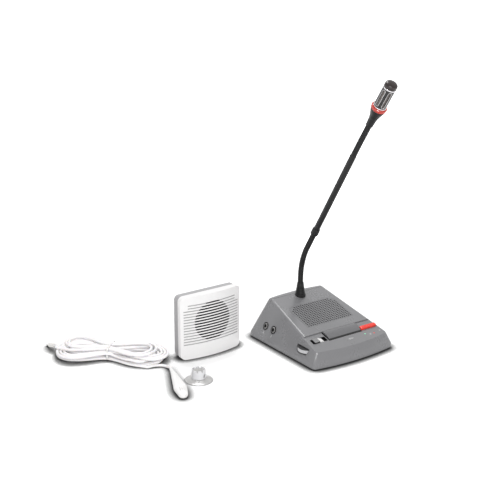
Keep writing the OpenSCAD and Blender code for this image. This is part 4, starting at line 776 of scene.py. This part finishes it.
# The left side is half_x from the console's middle at the height foot_z and leans in by side_a.
half_x, foot_z, side_a, mark_z = 0.075, 0.008, math.atan(25 / 54.5), 0.0145
facing_left = Matrix(((0, math.sin(side_a), -math.cos(side_a)), (-1, 0, 0),
                      (0, math.cos(side_a), math.sin(side_a)))).to_4x4()
side_x = slope_foot[0] - (half_x + (foot_z - mark_z) * math.tan(side_a))
for name, words, y in (("mark_front_socket", "1", 0.0623), ("mark_rear_socket", "2", 0.0818)):
    printed(name, words, large, Matrix.Translation((side_x, y, mark_z)) @ facing_left
            @ Matrix.Translation((0, 0, 0.00005)))


# --- Floor and light: a white counter that fades into a white surround, with a painted contact
# shadow close about what stands on it; one wide lamp high behind the set, a fill in front, a low
# strip lamp at the left for the gloss of the front corner, and an even sky.
def seen_by(graph, *kinds):
    """1 for rays of the given kinds and 0 for the others, which carry light only."""
    path = graph.node("ShaderNodeLightPath")
    seen, *others = [Value(graph.tree, path.outputs["Is %s Ray" % kind]) for kind in kinds]
    for other in others:
        seen = seen.most(other)
    return seen


bpy.ops.mesh.primitive_plane_add(size=40, location=(0, 0, 0))
floor = bpy.context.object
floor.name = "counter"
counter = Finish("white_counter", Roughness=0.95, Specular_IOR_Level=0.05)
seen = seen_by(counter, "Camera", "Glossy")
x, y, z = counter.axes()
# The counter's own glow is even near the set and grows to full white away from it.
away = ((x * x + y * y) - 0.12).most(0.0)
glow = (0.11 + 3 * away).least(1.2)
# Its painted contact shadow, from ambient occlusion, reaches 13 mm from what stands on it.
corner = counter.node("ShaderNodeAmbientOcclusion", {"samples": 12}, {"Distance": 0.013})
clear = Value(counter.tree, corner.outputs["AO"]).math("POWER", 5)
shaded = counter.between(clear, (0.05, 0.05, 0.05, 1), (0.95, 0.95, 0.95, 1))
counter.put({"Base Color": counter.between(seen, (0.8, 0.8, 0.8, 1), shaded),
             "Emission Color": (1, 1, 1, 1), "Emission Strength": seen * clear * glow})
floor.data.materials.append(counter.material)
world = bpy.data.worlds.new("surround")
bpy.context.scene.world = world
world.use_nodes = True
sky = Graph(world.node_tree)
background = sky.tree.nodes["Background"]
sky.join(background.inputs["Strength"], 0.42 + 0.58 * seen_by(sky, "Camera", "Glossy", "Transmission"))
background.inputs["Color"].default_value = (1, 1, 1, 1)
aim = Vector((0, 0, 0.1))
for name, where, power, size in (("key_lamp", (0.35, 0.8, 2.1), 28, 0.9),
                                 ("fill_lamp", (-0.75, -1.8, 1.3), 27, 0.8),
                                 ("strip_lamp", (-1.3, -0.85, 0.55), 4, 0.14)):
    lamp = bpy.data.objects.new(name, bpy.data.lights.new(name, "AREA"))
    lamp.data.energy, lamp.data.size = power, size
    lamp.location = where
    lamp.rotation_euler = (aim - Vector(where)).to_track_quat("-Z", "Y").to_euler()
    bpy.context.scene.collection.objects.link(lamp)
